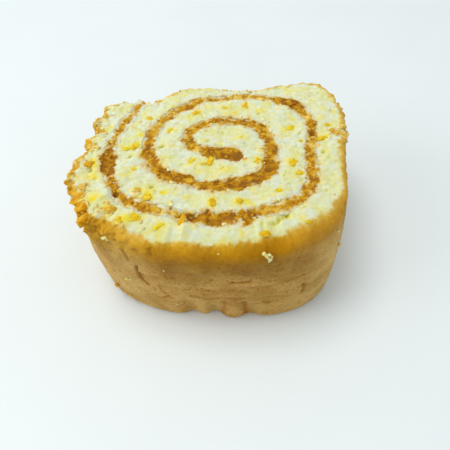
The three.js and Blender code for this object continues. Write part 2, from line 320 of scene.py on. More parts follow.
def skin_spot(angle, height, proud=0):
    """A place on the side in the roll's frame, and its true height."""
    shoulder = shoulder_radius(angle)
    swell = BELLY * np.sin(math.pi * height / SLICE_HEIGHT)
    edges = rounded_inset(FOOT, height) + rounded_inset(shoulder, SLICE_HEIGHT - height)
    radius = skin_radius(angle) + swell - edges + skin_relief(angle, height) + proud
    spot = coil_point(radius, angle)
    near_face = smoothstep(FACE_REACH, SLICE_HEIGHT - shoulder, height)
    return spot, height + near_face * (face_height(spot) - SLICE_HEIGHT)


# How torn the upper edge is, by degrees round the roll: whole at the front, in crags at the left.
TORN_PLACES = (0, 15, 30, 60, 100, 140, 150, 175, 205, 222, 236, 246, 330, 350, 360)
TORN_SHARES = (0.55, 0.45, 0.35, 0.45, 0.5, 0.6, 0.85, 1, 1, 0.9, 0.55, 0.12, 0.08, 0.25, 0.55)


def round_the_roll(angle, places, values):
    """A value that changes round the roll, given at a few places in degrees."""
    return np.interp(np.degrees(angle) % 360, places, values)


def torn(angle):
    return round_the_roll(angle, TORN_PLACES, TORN_SHARES)


def cut_end(angle):
    """1 on the flap's cut end, which is open crumb from top to bottom, and 0 on the skin."""
    return smoothstep(1 - FLAP_BEVEL, 1 - 0.6 * FLAP_BEVEL, outer_turn(angle)) * (angle < 0)


# Creases and cracks of the skin: each a line of (degrees, height), its width and its depth.
CREASES = (
    (((-125.8, 28), (-125.3, 24), (-124.5, 21.5), (-123, 19.2)), 0.38, 0.7),
    (((-125.3, 25.5), (-123.4, 23.6)), 0.35, 0.4), (((-129.6, 34.5), (-128, 31)), 0.35, 0.3),
    (((-118, 19.6), (-116, 15.8)), 0.4, 0.3),
    (((-117.8, 12.4), (-114.8, 14)), 0.4, 0.4),
    (((-118.4, 38.4), (-118, 35.8)), 0.4, 0.35),
    (((-55.6, 19.8), (-54.6, 17), (-55.2, 14.8)), 0.5, 0.4),
    (((-72.4, 12.4), (-69.4, 11.8)), 0.4, 0.35),
    (((-86, 26), (-82, 25.6), (-77.8, 26.1)), 0.45, 0.4),
    (((-77.5, 22.6), (-70, 22.4), (-63.8, 24.6), (-56.5, 25.4)), 0.5, 0.18),
    (((-98, 21.5), (-92, 20.4), (-86, 21.8), (-80, 20.6)), 0.6, 0.22),
    (((-104, 16.8), (-97, 15.8), (-90, 17), (-83, 16)), 0.6, 0.2),
    (((-91, 2), (-90, 8), (-89.4, 14)), 0.8, 0.35), (((-79.5, 2), (-80, 8), (-80.6, 13)), 0.8, 0.35),
)
SKIN_MM_PER_RADIAN = 38


def crease_depth(angle, height):
    """Depth of the creases at places on the skin, in millimetres."""
    around = (angle + math.pi) % math.tau - math.pi
    here = np.stack([around * SKIN_MM_PER_RADIAN, height], axis=-1)
    here = here + 0.35 * np.stack([soft_noise(here, 2.5, 21), soft_noise(here, 2.5, 22)], -1)
    depth = np.zeros(height.shape)
    for course, width, deep in CREASES:
        places = np.array(course, dtype=float)
        places[:, 0] = np.radians(places[:, 0]) * SKIN_MM_PER_RADIAN
        for start, end in zip(places, places[1:]):
            run = end - start
            share = np.clip((here - start) @ run / (run @ run), 0, 1)
            reach = np.linalg.norm(here - start - share[..., None] * run, axis=-1)
            depth = np.maximum(depth, deep * np.exp(-((reach / width) ** 2)))
    return depth


def skin_grain(angle, height, points):
    """Fine relief of the skin: soft dimples, wrinkles, creases, and torn crumb at the top."""
    arc = np.stack([angle * SKIN_MM_PER_RADIAN / 5, height], axis=-1)
    front = smoothstep(0.4, 0.9, -np.sin(angle))
    wrinkle_zone = front * smoothstep(8, 16, height) * (1 - smoothstep(26, 34, height))
    wrinkles = 0.24 * wrinkle_zone * soft_noise(arc, 1.9, 6, 2)
    dimples = 0.16 * soft_noise(points, 5, 7, 2) + 0.06 * soft_noise(points, 1.6, 8, 2)
    ragged = np.maximum(torn(angle) * smoothstep(31, 38, height), 0.6 * cut_end(angle))
    dome, draw = grains(points, 2.1, 3)
    crumbly = 0.75 * soft_noise(points, 2.2, 10) + 0.8 * dome * draw - 0.35
    crumbly = crumbly + 0.35 * soft_noise(points, 1.1, 23, 1)
    cut_rim = 0.24 * smoothstep(38, 40.5, height) * soft_noise(points, 1.4, 27, 2)
    return dimples + wrinkles + cut_rim + ragged * crumbly - crease_depth(angle, height)


# The skin as a grid: columns run clockwise from under the flap to its tip, rows from the
# upper face down the shoulder and the side to the foot.
SKIN_SPACING = 0.5
ANGLE_START = angle_at(TURNS)
fine_turns = np.linspace(0, 0.979, 4000)
fine_angles = ANGLE_START - math.tau * fine_turns
mid_outline, _ = skin_spot(fine_angles, np.full(fine_angles.shape, 20.0))
column_angles = spaced(mid_outline, SKIN_SPACING, fine_angles)[2]

SHOULDER_ROWS, SIDE_ROWS, FOOT_ROWS = 10, 66, 4
shoulders = shoulder_radius(column_angles)
row_heights = [
    SLICE_HEIGHT - shoulders * (1 - math.cos(tilt))
    for tilt in np.linspace(0, math.pi / 2, SHOULDER_ROWS)
]
for share in np.linspace(0, 1, SIDE_ROWS + 1)[1:]:
    row_heights.append((SLICE_HEIGHT - shoulders) * (1 - share) + FOOT * share)
for tilt in np.linspace(0, math.pi / 2, FOOT_ROWS)[1:]:
    row_heights.append(np.full(column_angles.shape, FOOT * (1 - math.sin(tilt))))
row_heights = np.array(row_heights)
skin_angles = np.broadcast_to(column_angles, row_heights.shape)

plain_spots, plain_heights = skin_spot(skin_angles, row_heights)
plain_points = np.concatenate([plain_spots, plain_heights[..., None]], axis=-1)
proud = skin_grain(skin_angles, row_heights, plain_points)
proud *= smoothstep(0, 3, row_heights)
skin_spots, skin_heights = skin_spot(skin_angles, row_heights, proud)

# The slot's walls share their upper and lower edges with the two faces.
flap_tip = int(np.argmin(np.linalg.norm(line - skin_spots[30, -1], axis=1)))
slot_spots = np.concatenate([slot_edge(1)[: flap_tip + 1][::-1], slot_edge(-1)[1:]])
face_loop = np.concatenate([skin_spots[0], slot_spots])
foot_loop = np.concatenate([skin_spots[-1], slot_spots])


def points_inside(loop, spacing):
    """A honeycomb of points inside a loop, clear of its edge."""
    low, high = loop.min(axis=0), loop.max(axis=0)
    across = np.arange(low[0], high[0], spacing)
    up = np.arange(low[1], high[1], spacing * math.sqrt(0.75))
    x, y = np.meshgrid(across, up)
    x = x + spacing / 2 * (np.arange(len(up)) % 2)[:, None]
    spots = np.stack([x.ravel(), y.ravel()], axis=-1)
    inside = np.zeros(len(spots), dtype=bool)
    for (ax, ay), (bx, by) in zip(loop, np.roll(loop, -1, axis=0)):
        if ay != by:
            crosses = (spots[:, 1] < ay) != (spots[:, 1] < by)
            inside ^= crosses & (spots[:, 0] < ax + (spots[:, 1] - ay) * (bx - ax) / (by - ay))
    spots = spots[inside]
    from_edge, _ = nearest(tree_of(loop), spots)
    return spots[from_edge > 0.7 * spacing]


def triangulate(loop, inner):
    """Triangles, seen from above anticlockwise, over a clockwise loop and the points inside it."""
    corners = [Vector(spot) for spot in np.concatenate([loop, inner])]
    ring = [list(range(len(loop)))[::-1]]
    found = geometry.delaunay_2d_cdt(corners, [], ring, 1, 1e-7, True)
    if len(found[0]) != len(corners):
        raise RuntimeError("the cut face's outline crosses itself")
    spots = np.array(found[0])
    # Only triangles that lie inside the loop name it as the face they come from.
    faces = np.array([face for face, source in zip(found[2], found[5]) if source])
    a, b, c = (spots[faces[:, side]] for side in range(3))
    turned = (b - a)[:, 0] * (c - a)[:, 1] - (b - a)[:, 1] * (c - a)[:, 0] < 0
    faces[turned] = faces[turned][:, ::-1]
    return faces


FACE_SPACING, FOOT_SPACING = 0.37, 1.1
face_spots = points_inside(face_loop, FACE_SPACING)
foot_spots = points_inside(foot_loop, FOOT_SPACING)
face_triangles = triangulate(face_loop, face_spots)
foot_triangles = triangulate(foot_loop, foot_spots)

rim_tree = tree_of(skin_spots[0])


def patch_share(spots, x, y, length, width, turn):
    """1 in the middle of an oval patch, and 0 well outside it. The turn is in degrees."""
    off = spots - np.array((x, y))
    along = off @ [math.cos(math.radians(turn)), math.sin(math.radians(turn))]
    across = off @ [-math.sin(math.radians(turn)), math.cos(math.radians(turn))]
    return np.exp(-((along / length) ** 2) - (across / width) ** 2)


def patches_share(spots, patches):
    """The share of whichever patch covers a place most."""
    share = np.zeros(len(spots))
    for patch in patches:
        share = np.maximum(share, patch_share(spots, *patch))
    return share


# A patch is a place, half its length and width, and its turn in degrees.
# Tears in the crumb, most near the front: a patch and a depth.
TEARS = (
    (1.7, -37.3, 1.5, 0.6, 100, 0.6), (6.3, -37.0, 1.5, 0.6, 70, 0.7),
    (15.0, -33.2, 1.0, 0.8, 60, 1.5), (19.0, -29.5, 1.5, 0.8, 45, 1.4),
    (12.2, -33.6, 2.0, 0.5, 85, 0.7), (9.6, -34.2, 1.6, 0.5, 100, 0.6),
    (16.9, -31.6, 1.4, 0.6, 70, 0.8), (-19.0, -1.9, 1.4, 0.5, 10, 0.8),
    (-27.2, -2.8, 0.9, 0.7, 60, 0.9), (-28.1, -6.3, 1.1, 0.6, 40, 0.9),
    (-20.2, -19.1, 0.8, 0.6, 30, 0.8), (-39.6, -12.1, 0.8, 0.7, 0, 0.9),
    (16.3, -10.0, 0.9, 0.5, 20, 0.7), (-16.6, 12.6, 1.0, 0.5, 15, 0.9),
    (30.5, 3.4, 1.0, 0.7, 0, 1.2), (33.0, -4.5, 0.8, 0.6, 80, 0.8),
    (-7.4, -36.6, 1.6, 0.6, 100, 0.8),
)
# Chunks of crumb that stand proud near the front: a patch and a rise.
CHUNKS = (
    (-10.0, -35.0, 2.2, 1.2, 90, 1.1), (-14.2, -34.8, 1.5, 1.0, 30, 0.7),
    (-17.4, -36.3, 2.2, 1.3, 20, 0.7), (-3.6, -35.6, 1.6, 1.1, 80, 0.6),
    (11.0, -35.6, 1.8, 0.8, 95, 0.7), (17.6, -33.2, 1.6, 0.8, 70, 0.7),
    (-33.0, -22.4, 1.8, 1.4, 60, 0.7), (-20.6, -14.5, 1.4, 1.2, 0, 0.5),
)


def open_crumb(spots, rims):
    """Relief of the cut face in mm, and its holes: swells, fine crumb and small tears."""
    angle = np.arctan2(spots[:, 1], spots[:, 0])
    swells = 0.35 * soft_noise(spots, 5, 11, 2)
    dome, draw = grains(spots, 1.5, 12)
    rough = 0.1 * dome * (0.3 + draw) + 0.2 * soft_noise(spots, 1.7, 13, 3)
    holes = 0.3 * smoothstep(0.5, 0.85, soft_noise(spots, 2.4, 14, 3))
    broken = np.clip(1 + 0.9 * soft_noise(spots, 1.3, 26, 2), 0, 2)
    for *patch, depth in TEARS:
        holes = holes + 1.1 * depth * broken * patch_share(spots, *patch)
    for *patch, rise in CHUNKS:
        rough = rough + rise * broken * patch_share(spots, *patch)
    calm = 0.6 + 0.4 * np.maximum(smoothstep(0.5, 4, rims), torn(angle))
    # Where the edge is torn, loose crumbs stand out of it.
    dome, draw = grains(spots, 2.2, 24)
    crumbly = torn(angle) ** 2 * np.exp(-rims / 3)
    loose = crumbly * (0.9 * dome * draw - 0.25 + 0.3 * soft_noise(spots, 1.2, 25, 2))
    return calm * (swells + rough - holes) + loose, holes


# Heights of the upper face, its edges among them. The crumb dips a little along the filling.
upper_spots = np.concatenate([face_loop, face_spots])
upper_gaps, upper_numbers = from_filling(upper_spots)
upper_rims, _ = nearest(rim_tree, upper_spots)
upper_relief, upper_holes = open_crumb(upper_spots, upper_rims)
upper_relief = upper_relief - 0.25 * np.exp(-np.clip(upper_gaps, 0, None) / 0.6)
upper_heights = face_height(upper_spots) + upper_relief

# The crumb's relief fades down over the shoulder.
columns = len(column_angles)
fade = np.clip((row_heights - (SLICE_HEIGHT - shoulders)) / shoulders, 0, 1) ** 2
skin_heights = skin_heights + fade * upper_relief[:columns]

SLOT_HEIGHTS = (41.2, 39.8, 37, 29, 14, 4, 0.9)
lower_spots = np.concatenate([foot_loop, foot_spots])
lower_heights = np.zeros(len(lower_spots))
lower_heights[columns:] = 0.12 * (1 + soft_noise(lower_spots[columns:], 3, 15, 2))
lower_heights = np.clip(lower_heights, 0, None)


def sponge_mesh():
    """Points and faces of the whole sheet: skin, slot, both cut faces and their seams."""
    slots = len(slot_spots)
    points = [stand(skin_spots, skin_heights).reshape(-1, 3)]
    rows = len(row_heights)
    skin_at = np.arange(rows * columns).reshape(rows, columns)
    tops = upper_heights[columns : columns + slots]
    levels = [tops] + [np.minimum(tops - 0.5, height) for height in SLOT_HEIGHTS]
    levels.append(lower_heights[columns : columns + slots])
    slot_at = rows * columns + np.arange(len(levels) * slots).reshape(len(levels), slots)
    points += [stand(slot_spots, level) for level in levels]
    first = rows * columns + len(levels) * slots
    points.append(stand(face_spots, upper_heights[len(face_loop) :]))
    face_at = np.concatenate([skin_at[0], slot_at[0], first + np.arange(len(face_spots))])
    first += len(face_spots)
    points.append(stand(foot_spots, lower_heights[len(foot_loop) :]))
    foot_at = np.concatenate([skin_at[-1], slot_at[-1], first + np.arange(len(foot_spots))])

    faces = []
    for grid in (skin_at, slot_at):
        quads = [grid[:-1, :-1], grid[:-1, 1:], grid[1:, 1:], grid[1:, :-1]]
        faces += np.stack(quads, axis=-1).reshape(-1, 4).tolist()
    faces += face_at[face_triangles].tolist()
    faces += foot_at[foot_triangles][:, ::-1].tolist()

    # The slot's walls have fewer rows than the skin, so each seam is a column of many-sided faces.
    joins = [0]
    for level in levels[1:-1]:
        joins.append(int(np.argmin(np.abs(skin_heights[:, -1] - level[0]))))
    joins.append(rows - 1)
    for step, (high, low) in enumerate(zip(joins, joins[1:])):
        tip = skin_at[high : low + 1, -1][::-1].tolist()
        faces.append([slot_at[step, 0], slot_at[step + 1, 0]] + tip)
        root = skin_at[high : low + 1, 0].tolist()
        faces.append([slot_at[step + 1, -1], slot_at[step, -1]] + root)
    return np.concatenate(points), faces


sponge_points, sponge_faces = sponge_mesh()

# How far each point lies beyond the place where the browning starts, in millimetres.
BROWNING_PLACES = (
    0, 30, 60, 100, 138, 150, 165, 200, 215, 219, 222, 225, 231, 236, 241, 246, 251, 256, 272, 285,
    298, 312, 325, 345, 360,
)
BROWNING_STARTS = (
    -0.6, 0.4, 0.3, 0, -0.2, -0.4, -0.6, -0.5, 0.8, 1.6, 2.2, 3.0, 3.9, 4.4, 5.0, 5.1, 4.2, 3.9, 4.0,
    3.4, 2.7, 1.6, 1.0, -0.6, -0.6,
)


def browning(angle, beyond_rim, points):
    start = round_the_roll(angle, BROWNING_PLACES, BROWNING_STARTS)
    patches = (0.4 + 1.6 * torn(angle)) * soft_noise(points, 2.4, 16, 3)
    return beyond_rim - start + patches


def face_crust(spots):
    angle = np.arctan2(spots[:, 1], spots[:, 0])
    solid = np.pad(spots, ((0, 0), (0, 1)), constant_values=SLICE_HEIGHT)
    return browning(angle, -nearest(rim_tree, spots)[0], solid)


def over_sponge(skin, upper, foot):
    """A value for each of the sponge's points. The slot's walls take the upper face's values."""
    skin = np.broadcast_to(skin, skin_angles.shape).ravel()
    upper = np.broadcast_to(upper, len(upper_spots))
    slot = np.tile(upper[columns : len(face_loop)], len(SLOT_HEIGHTS) + 2)
    foot = np.broadcast_to(foot, len(foot_spots))
    return np.concatenate([skin, slot, upper[len(face_loop) :], foot])


# Taken off where there is crumb and no skin at all.
CRUMB_ONLY = 30
profile = np.linalg.norm(np.diff(stand(skin_spots, skin_heights), axis=0), axis=-1)
down_skin = np.concatenate([np.zeros((1, columns)), np.cumsum(profile, axis=0)])
skin_crust = browning(skin_angles, down_skin, plain_points) - CRUMB_ONLY * cut_end(skin_angles)
upper_crust = face_crust(upper_spots)
crust = over_sponge(skin_crust, upper_crust, face_crust(foot_spots))

# How deep each point lies in a hole or a crease: 0 on the open surface. The looks paint shade there by
# it.
skin_hollow = np.clip(crease_depth(skin_angles, row_heights) / 0.5, 0, 1)
hollow = over_sponge(skin_hollow, np.clip(upper_holes / 0.9, 0, 1), 0)

# The golden tan of the shoulder, strongest at the front and the left, by degrees round the roll.
GOLDEN_PLACES = (0, 120, 160, 200, 214, 221, 226, 234, 241, 295, 312, 360)
GOLDEN_SHARES = (0.3, 0.3, 0.6, 0.6, 0.7, 1, 0.4, 0.3, 0.9, 1, 0.4, 0.4)
golden = over_sponge(round_the_roll(skin_angles, GOLDEN_PLACES, GOLDEN_SHARES), 0.6, 0.6)
# Where the skin is torn, paler crumb shows between its flakes.
flaky = over_sponge(torn(skin_angles) * smoothstep(29, 37, row_heights), 0, 0)

# The cut filling, by station along its line: how far crumb has been dragged over it on each side,
# in millimetres, and how dark and rich it is, from 0, thin gold, to 1, dark brown.
FILLING_COURSE = (
    (0, 0, 0.7), (5, -0.1, 0.8), (8, 0.4, 0.5), (12, 0.2, 0.5), (16, 0.5, 0.45),
    (20, 0.4, 0.5), (23, 0, 0.7), (26, -0.3, 0.5), (31, 0, 0.55), (34, -0.1, 0.65),
    (37, -0.5, 0.75), (42, -0.4, 0.7), (46, 0, 0.6), (49, -0.2, 0.6), (55, -0.1, 0.6),
    (58, 0.4, 0.4), (65, 0.3, 0.45), (67, -0.1, 0.5), (70, 0.5, 0.25), (79.5, 0.5, 0.3),
    (80.5, -0.7, 0.8), (82.5, -0.6, 0.8), (84.5, 1, 0.3), (87, 0.3, 0.7), (89, 0.4, 0.4),
    (92, 0.3, 0.45), (99, 0.2, 0.55), (102, 0.7, 0.3), (105, -0.2, 0.65), (109, -0.4, 0.8),
    (112.5, -0.1, 0.75), (114, 0.8, 0.3), (118, 0.7, 0.4), (120.5, 0.4, 0.4), (122.5, 0.9, 0.45),
    (124.5, 0.8, 0.6), (126, 0.1, 0.85), (128, -0.3, 0.85), (130, 1, 0.35), (133, 0.9, 0.6),
    (138, 0.8, 0.6), (140, 1, 0.5),
)
course = np.array(FILLING_COURSE)
covered = np.interp(station, course[:, 0], course[:, 1])
richness = np.interp(station, course[:, 0], course[:, 2])
# Patches of filling smeared over the crumb, and how far a smear reaches past the filling's edge.
SMEARS = (
    (7.6, -33.4, 1.6, 1.0, 50), (-35.3, -7.6, 1.6, 1.6, 0), (-23.2, -33.2, 1.4, 0.8, 80),
    (24.2, 20.0, 2.2, 1.2, -55),
)
SMEAR_REACH = 2.6


def visible_gap(spots, gaps, numbers):
    """Distance from the filling as it shows, smears and dragged crumb among it."""
    return gaps + covered[numbers] - SMEAR_REACH * patches_share(spots, SMEARS)


# Each point's distance from the filling as it shows, and how rich the filling near it is.
FAR_FROM_FILLING = 8.0
foot_gaps, foot_numbers = from_filling(foot_spots)
upper_visible = visible_gap(upper_spots, upper_gaps, upper_numbers)
gap = over_sponge(FAR_FROM_FILLING, upper_visible, foot_gaps)
rich = over_sponge(0.5, richness[upper_numbers], richness[foot_numbers])
# The heart of each layer of crumb is yellower than its edges.
heart = smoothstep(0.6, 2.6, gap) * np.clip(0.5 + 1.1 * soft_noise(sponge_points, 5, 18), 0, 1)

# Bits of candied fruit in the sponge: place, length, width, turn in degrees, and how orange.
FRUIT_BITS = (
    (8.7, 18.5, 2.7, 1.9, 90, 0.6), (-8.2, 14.9, 2.6, 2.0, 20, 0.5),
    (-16.0, 6.1, 2.0, 1.8, 0, 0.5), (-23.9, 12.0, 1.9, 1.4, 0, 0.6),
    (-26.8, -1.2, 2.2, 1.6, 20, 0.7), (-29.8, -2.3, 2.6, 1.5, 0, 0.3),
    (-21.0, -23.5, 2.8, 2.0, 40, 0.5), (-24.2, -20.6, 2.7, 1.9, -20, 0.6),
    (-23.7, -30.7, 2.8, 2.2, -20, 0.4), (-29.5, -20.6, 1.1, 0.9, 0, 0.8),
    (-16.2, -33.4, 3.0, 1.4, 30, 0.1), (-10.3, -31.8, 3.4, 1.6, 80, 0.8),
    (-2.0, -25.2, 2.5, 2.0, 80, 0.7), (5.6, -24.5, 2.3, 1.7, 0, 0.4),
    (-2.9, -8.0, 3.9, 1.9, 80, 0.5), (-8.6, -8.3, 1.9, 1.7, 0, 0.2),
    (-5.2, -9.6, 1.4, 1.2, 0, 0.5), (12.2, -8.3, 2.5, 1.9, 50, 0.4),
    (22.5, -9.0, 2.8, 2.1, 60, 0.4), (23.4, 7.2, 2.9, 1.5, 30, 0.2),
    (36.3, 8.9, 1.7, 1.1, 0, 0.6), (33.2, 2.4, 4.0, 1.4, 25, 0.5),
    (24.3, -13.3, 2.3, 1.4, 0, 0.4), (18.0, -20.7, 1.9, 1.4, 30, 0.3),
    (12.7, -36.4, 2.5, 1.5, 10, 0.6), (25.2, -32.2, 1.4, 0.9, 0, 0.5),
    (26.3, 0.8, 1.3, 1.0, 0, 0.5), (2.1, 17.2, 1.6, 1.2, 0, 0.4),
    (7.0, 2.3, 1.7, 1.0, 0, 0.2), (-27.7, -31.5, 1.9, 1.6, 0, 0.8),
    (-26.0, -11.2, 1.9, 1.1, 60, 0.3), (-16.5, -21.4, 1.5, 1.2, 0, 0.4),
    (-25.6, 3.3, 1.1, 1.0, 0, 0.5),
)
# Each has stained the crumb round it, as wide as this share of its size, near the upper face.
STAIN_REACH = 0.85
STAIN_DEPTH = 6
# Patches where yellow juice has run into the crumb.
JUICE = (
    (-17.0, -33.5, 4.0, 2.0, 20), (-26.0, -32.0, 3.6, 2.4, 0), (15.0, -28.8, 2.2, 1.4, 60),
    (-38.5, -15.0, 3.0, 2.6, 70), (-23.0, -22.5, 3.8, 2.4, 30), (-8.0, -9.0, 3.0, 1.8, 0),
    (-20.0, -30.0, 2.4, 1.6, 40), (-30.0, -2.0, 3.0, 1.6, 0), (0.5, -12.0, 3.0, 1.6, 10),
    (15.0, 16.0, 2.2, 1.2, 0), (8.5, -24.5, 3.0, 1.6, 0), (-37.0, -23.5, 2.4, 1.8, 0),
    (-39.5, -28.5, 2.6, 3.6, 0), (-31.2, -27.9, 2.6, 2.2, 0), (-39.0, -9.0, 2.4, 2.2, 0),
    (3.5, 14.8, 2.6, 1.4, 10), (33.1, 5.6, 2.4, 1.2, 20), (-13.5, 13.2, 2.2, 1.2, 0),
)
stains = [(x, y, STAIN_REACH * length, STAIN_REACH * width, turn)
          for x, y, length, width, turn, _ in FRUIT_BITS]
near_top = sponge_points[:, 2] > SLICE_HEIGHT - STAIN_DEPTH
seen_from_above = sponge_points[:, :2] - np.array(ROLL_AXIS)
patchy = soft_noise(sponge_points, 3.2, 17)
fruit = patches_share(seen_from_above, stains) * near_top * (1 + 0.8 * patchy)
spilt = patches_share(seen_from_above, JUICE) * near_top * (0.7 + 1.2 * patchy)
faint = 0.44 * smoothstep(0.22, 0.55, soft_noise(sponge_points, 3.4, 19))
fruit = np.clip(np.maximum(fruit, np.maximum(spilt, faint)), 0, 1)


def paint(colour):
    """A screen colour, 0 to 255, in the linear values that shaders take. A link stays a link."""
    if isinstance(colour, bpy.types.NodeSocket):
        return colour
    parts = np.array(colour) / 255
    linear = np.where(parts <= 0.04045, parts / 12.92, ((parts + 0.055) / 1.055) ** 2.4)
    return (*linear, 1)


def add_node(tree, kind, sockets=None, **settings):
    """A shader node. Each socket gets a plain value, or a link from another node's output."""
    made = tree.nodes.new(kind)
    for name, value in settings.items():
        setattr(made, name, value)
    for socket, value in (sockets or {}).items():
        if isinstance(value, bpy.types.NodeSocket):
            tree.links.new(value, made.inputs[socket])
        else:
            made.inputs[socket].default_value = value
    return made


def mix_colour(tree, share, low, high, blend="MIX"):
    sockets = {0: share, 6: paint(low), 7: paint(high)}
    return add_node(tree, "ShaderNodeMix", sockets, data_type="RGBA", blend_type=blend).outputs[2]


def ramp(tree, share, stops):
    """A colour ramp from (place, colour) stops."""
    made = add_node(tree, "ShaderNodeValToRGB", {0: share})
    elements = made.color_ramp.elements
    while len(elements) < len(stops):
        elements.new(0.5)
    for element, (place, colour) in zip(elements, stops):
        element.position = place
        element.color = paint(colour)
    return made.outputs[0]


def between(tree, value, low, high, to_low=0, to_high=1):
    """A value carried from one range to another, and held inside it."""
    sockets = {0: value, 1: low, 2: high, 3: to_low, 4: to_high}
    return add_node(tree, "ShaderNodeMapRange", sockets, interpolation_type="SMOOTHSTEP").outputs[0]


def attribute(tree, name):
    return add_node(tree, "ShaderNodeAttribute", attribute_name=name).outputs["Fac"]


def math_node(tree, operation, first, second=0):
    sockets = {0: first, 1: second}
    return add_node(tree, "ShaderNodeMath", sockets, operation=operation).outputs[0]


def new_group(name, inputs, outputs):
    """An empty node group: its inputs with their usual numbers, its outputs with their kinds."""
    group = bpy.data.node_groups.new(name, "ShaderNodeTree")
    for label, usual in inputs.items():
        made = group.interface.new_socket(label, in_out="INPUT", socket_type="NodeSocketFloat")
        made.default_value = usual
    for label, kind in outputs.items():
        group.interface.new_socket(label, in_out="OUTPUT", socket_type="NodeSocket" + kind)
    return group, add_node(group, "NodeGroupInput").outputs


def use_group(tree, group, **inputs):
    return add_node(tree, "ShaderNodeGroup", inputs, node_tree=group).outputs


def grain_group():
    """Fine grain of baked crumb: a shade and a height, with grains of a size in millimetres."""
    group, entry = new_group("crumb grain", {"Size": 1}, {"Shade": "Float", "Height": "Float"})
    place = add_node(group, "ShaderNodeTexCoord").outputs["Object"]
    scale = math_node(group, "DIVIDE", 1 / MM, entry["Size"])
    cloud = add_node(group, "ShaderNodeTexNoise", {"Vector": place, "Scale": scale, "Detail": 3})
    cells = add_node(group, "ShaderNodeTexVoronoi", {"Vector": place, "Scale": scale})
    dome = between(group, cells.outputs["Distance"], 0, 0.8, 1, 0)
    height = math_node(group, "ADD", cloud.outputs[0], dome)
    add_node(group, "NodeGroupOutput", {0: between(group, height, 0.45, 1.35), 1: height})
    return group


crumb_grain = grain_group()


def grain(tree, size):
    made = use_group(tree, crumb_grain, Size=size)
    return made["Shade"], made["Height"]


def speckle(tree, size, seed, low, high, to_low=0, to_high=1):
    """Noise with features of a size in mm, carried from one range to another."""
    place = add_node(tree, "ShaderNodeTexCoord").outputs["Object"]
    shifted = add_node(tree, "ShaderNodeVectorMath", {0: place, 1: (0.1 * seed, 0, 0)})
    sockets = {"Vector": shifted.outputs[0], "Scale": 1 / (size * MM), "Detail": 3}
    plain = add_node(tree, "ShaderNodeTexNoise", sockets).outputs[0]
    return between(tree, plain, low, high, to_low, to_high)


def crumb_look_group():
    """Fresh crumb: pale, yellower in the layer's heart, stained by fruit juice, painted shade in pits
    and holes.
    """
    inputs = {"Heart": 0, "Juice": 0, "Hollow": 0}
    group, entry = new_group("crumb look", inputs, {"Colour": "Color", "Height": "Float"})
    shade, height = grain(group, 0.9)
    colour = mix_colour(group, entry["Heart"], (215, 220, 204), (217, 216, 160))
    fluff = speckle(group, 1.3, 16, 0.36, 0.62, 0.5, 0)
    colour = mix_colour(group, fluff, colour, (238, 236, 208), "MULTIPLY")
    # Painted shade: the creases between grains turn yellower.
    shaded_pits = between(group, shade, 0, 0.5, 0.15, 0)
    colour = mix_colour(group, shaded_pits, colour, (218, 216, 128))
    colour = mix_colour(group, entry["Juice"], colour, (230, 208, 40))
    # Painted shade: holes and tears turn olive yellow by their depth.
    colour = mix_colour(group, entry["Hollow"], colour, (202, 196, 76))
    add_node(group, "NodeGroupOutput", {0: colour, 1: height})
    return group


def paste_look_group():
    """Fruit paste: soft lumps, cloudy in tone, from thin gold to rich brown, painted shade between lumps
    and in gaps.
    """
    outputs = {"Colour": "Color", "Height": "Float"}
    group, entry = new_group("paste look", {"Rich": 0.5, "Hollow": 0}, outputs)
    place = add_node(group, "ShaderNodeTexCoord").outputs["Object"]
    cells = add_node(group, "ShaderNodeTexVoronoi", {"Vector": place, "Scale": 1 / (1.8 * MM)})
    clouds = speckle(group, 2.4, 4, 0.3, 0.7, 0.8, -0.8)
    dark = math_node(group, "ADD", entry["Rich"], math_node(group, "MULTIPLY", clouds, 0.5))
    dome = between(group, cells.outputs["Distance"], 0, 0.85, 1, 0)
    colour = ramp(group, dark, (
        (0.0, (226, 198, 108)), (0.2, (214, 172, 50)), (0.45, (196, 144, 10)),
        (0.7, (172, 118, 8)), (1.0, (140, 90, 16)),
    ))
    # Painted shade: darker brown in the creases between lumps.
    colour = mix_colour(group, between(group, dome, 0, 0.4, 0.25, 0), colour, (168, 108, 2))
    # Painted shade: dark brown in the paste's lows and gaps, by their depth.
    colour = mix_colour(group, entry["Hollow"], colour, (128, 76, 8))
    fine = grain(group, 0.8)[1]
    height = math_node(group, "ADD", dome, math_node(group, "MULTIPLY", fine, 0.3))
    add_node(group, "NodeGroupOutput", {0: colour, 1: height})
    return group


def torn_edge_group():
    """Where paste and crumb meet: how much is paste, and how stained the crumb beside it is."""
    group, entry = new_group("torn edge", {"Gap": 8}, {"Paste": "Float", "Stain": "Float"})
    coarse = speckle(group, 3, 13, 0.25, 0.75, -1, 1)
    fine = speckle(group, 1.1, 14, 0.25, 0.75, -0.5, 0.5)
    uneven = math_node(group, "ADD", entry["Gap"], math_node(group, "ADD", coarse, fine))
    paste = between(group, uneven, -0.5, 0.5, 1, 0)
    add_node(group, "NodeGroupOutput", {0: paste, 1: between(group, uneven, -0.2, 1.8, 0.75, 0)})
    return group


crumb_look = crumb_look_group()
paste_look = paste_look_group()
torn_edge = torn_edge_group()


def crumb_and_paste(tree, heart, juice, hollow):
    """Colour and height of a cut face: crumb, stained crumb, or paste."""
    crumb = use_group(tree, crumb_look, Heart=heart, Juice=juice, Hollow=hollow)
    paste = use_group(tree, paste_look, Rich=attribute(tree, "rich"), Hollow=hollow)
    edge = use_group(tree, torn_edge, Gap=attribute(tree, "gap"))
    colour = mix_colour(tree, edge["Stain"], crumb["Colour"], (212, 176, 84))
    colour = mix_colour(tree, edge["Paste"], colour, paste["Colour"])
    return colour, math_node(tree, "ADD", crumb["Height"], paste["Height"]), edge["Paste"]


def new_material(name, roughness, gloss):
    material = bpy.data.materials.new(name)
    material.use_nodes = True
    surface = material.node_tree.nodes["Principled BSDF"]
    surface.inputs["Roughness"].default_value = roughness
    surface.inputs["Specular IOR Level"].default_value = gloss
    return material, material.node_tree, surface


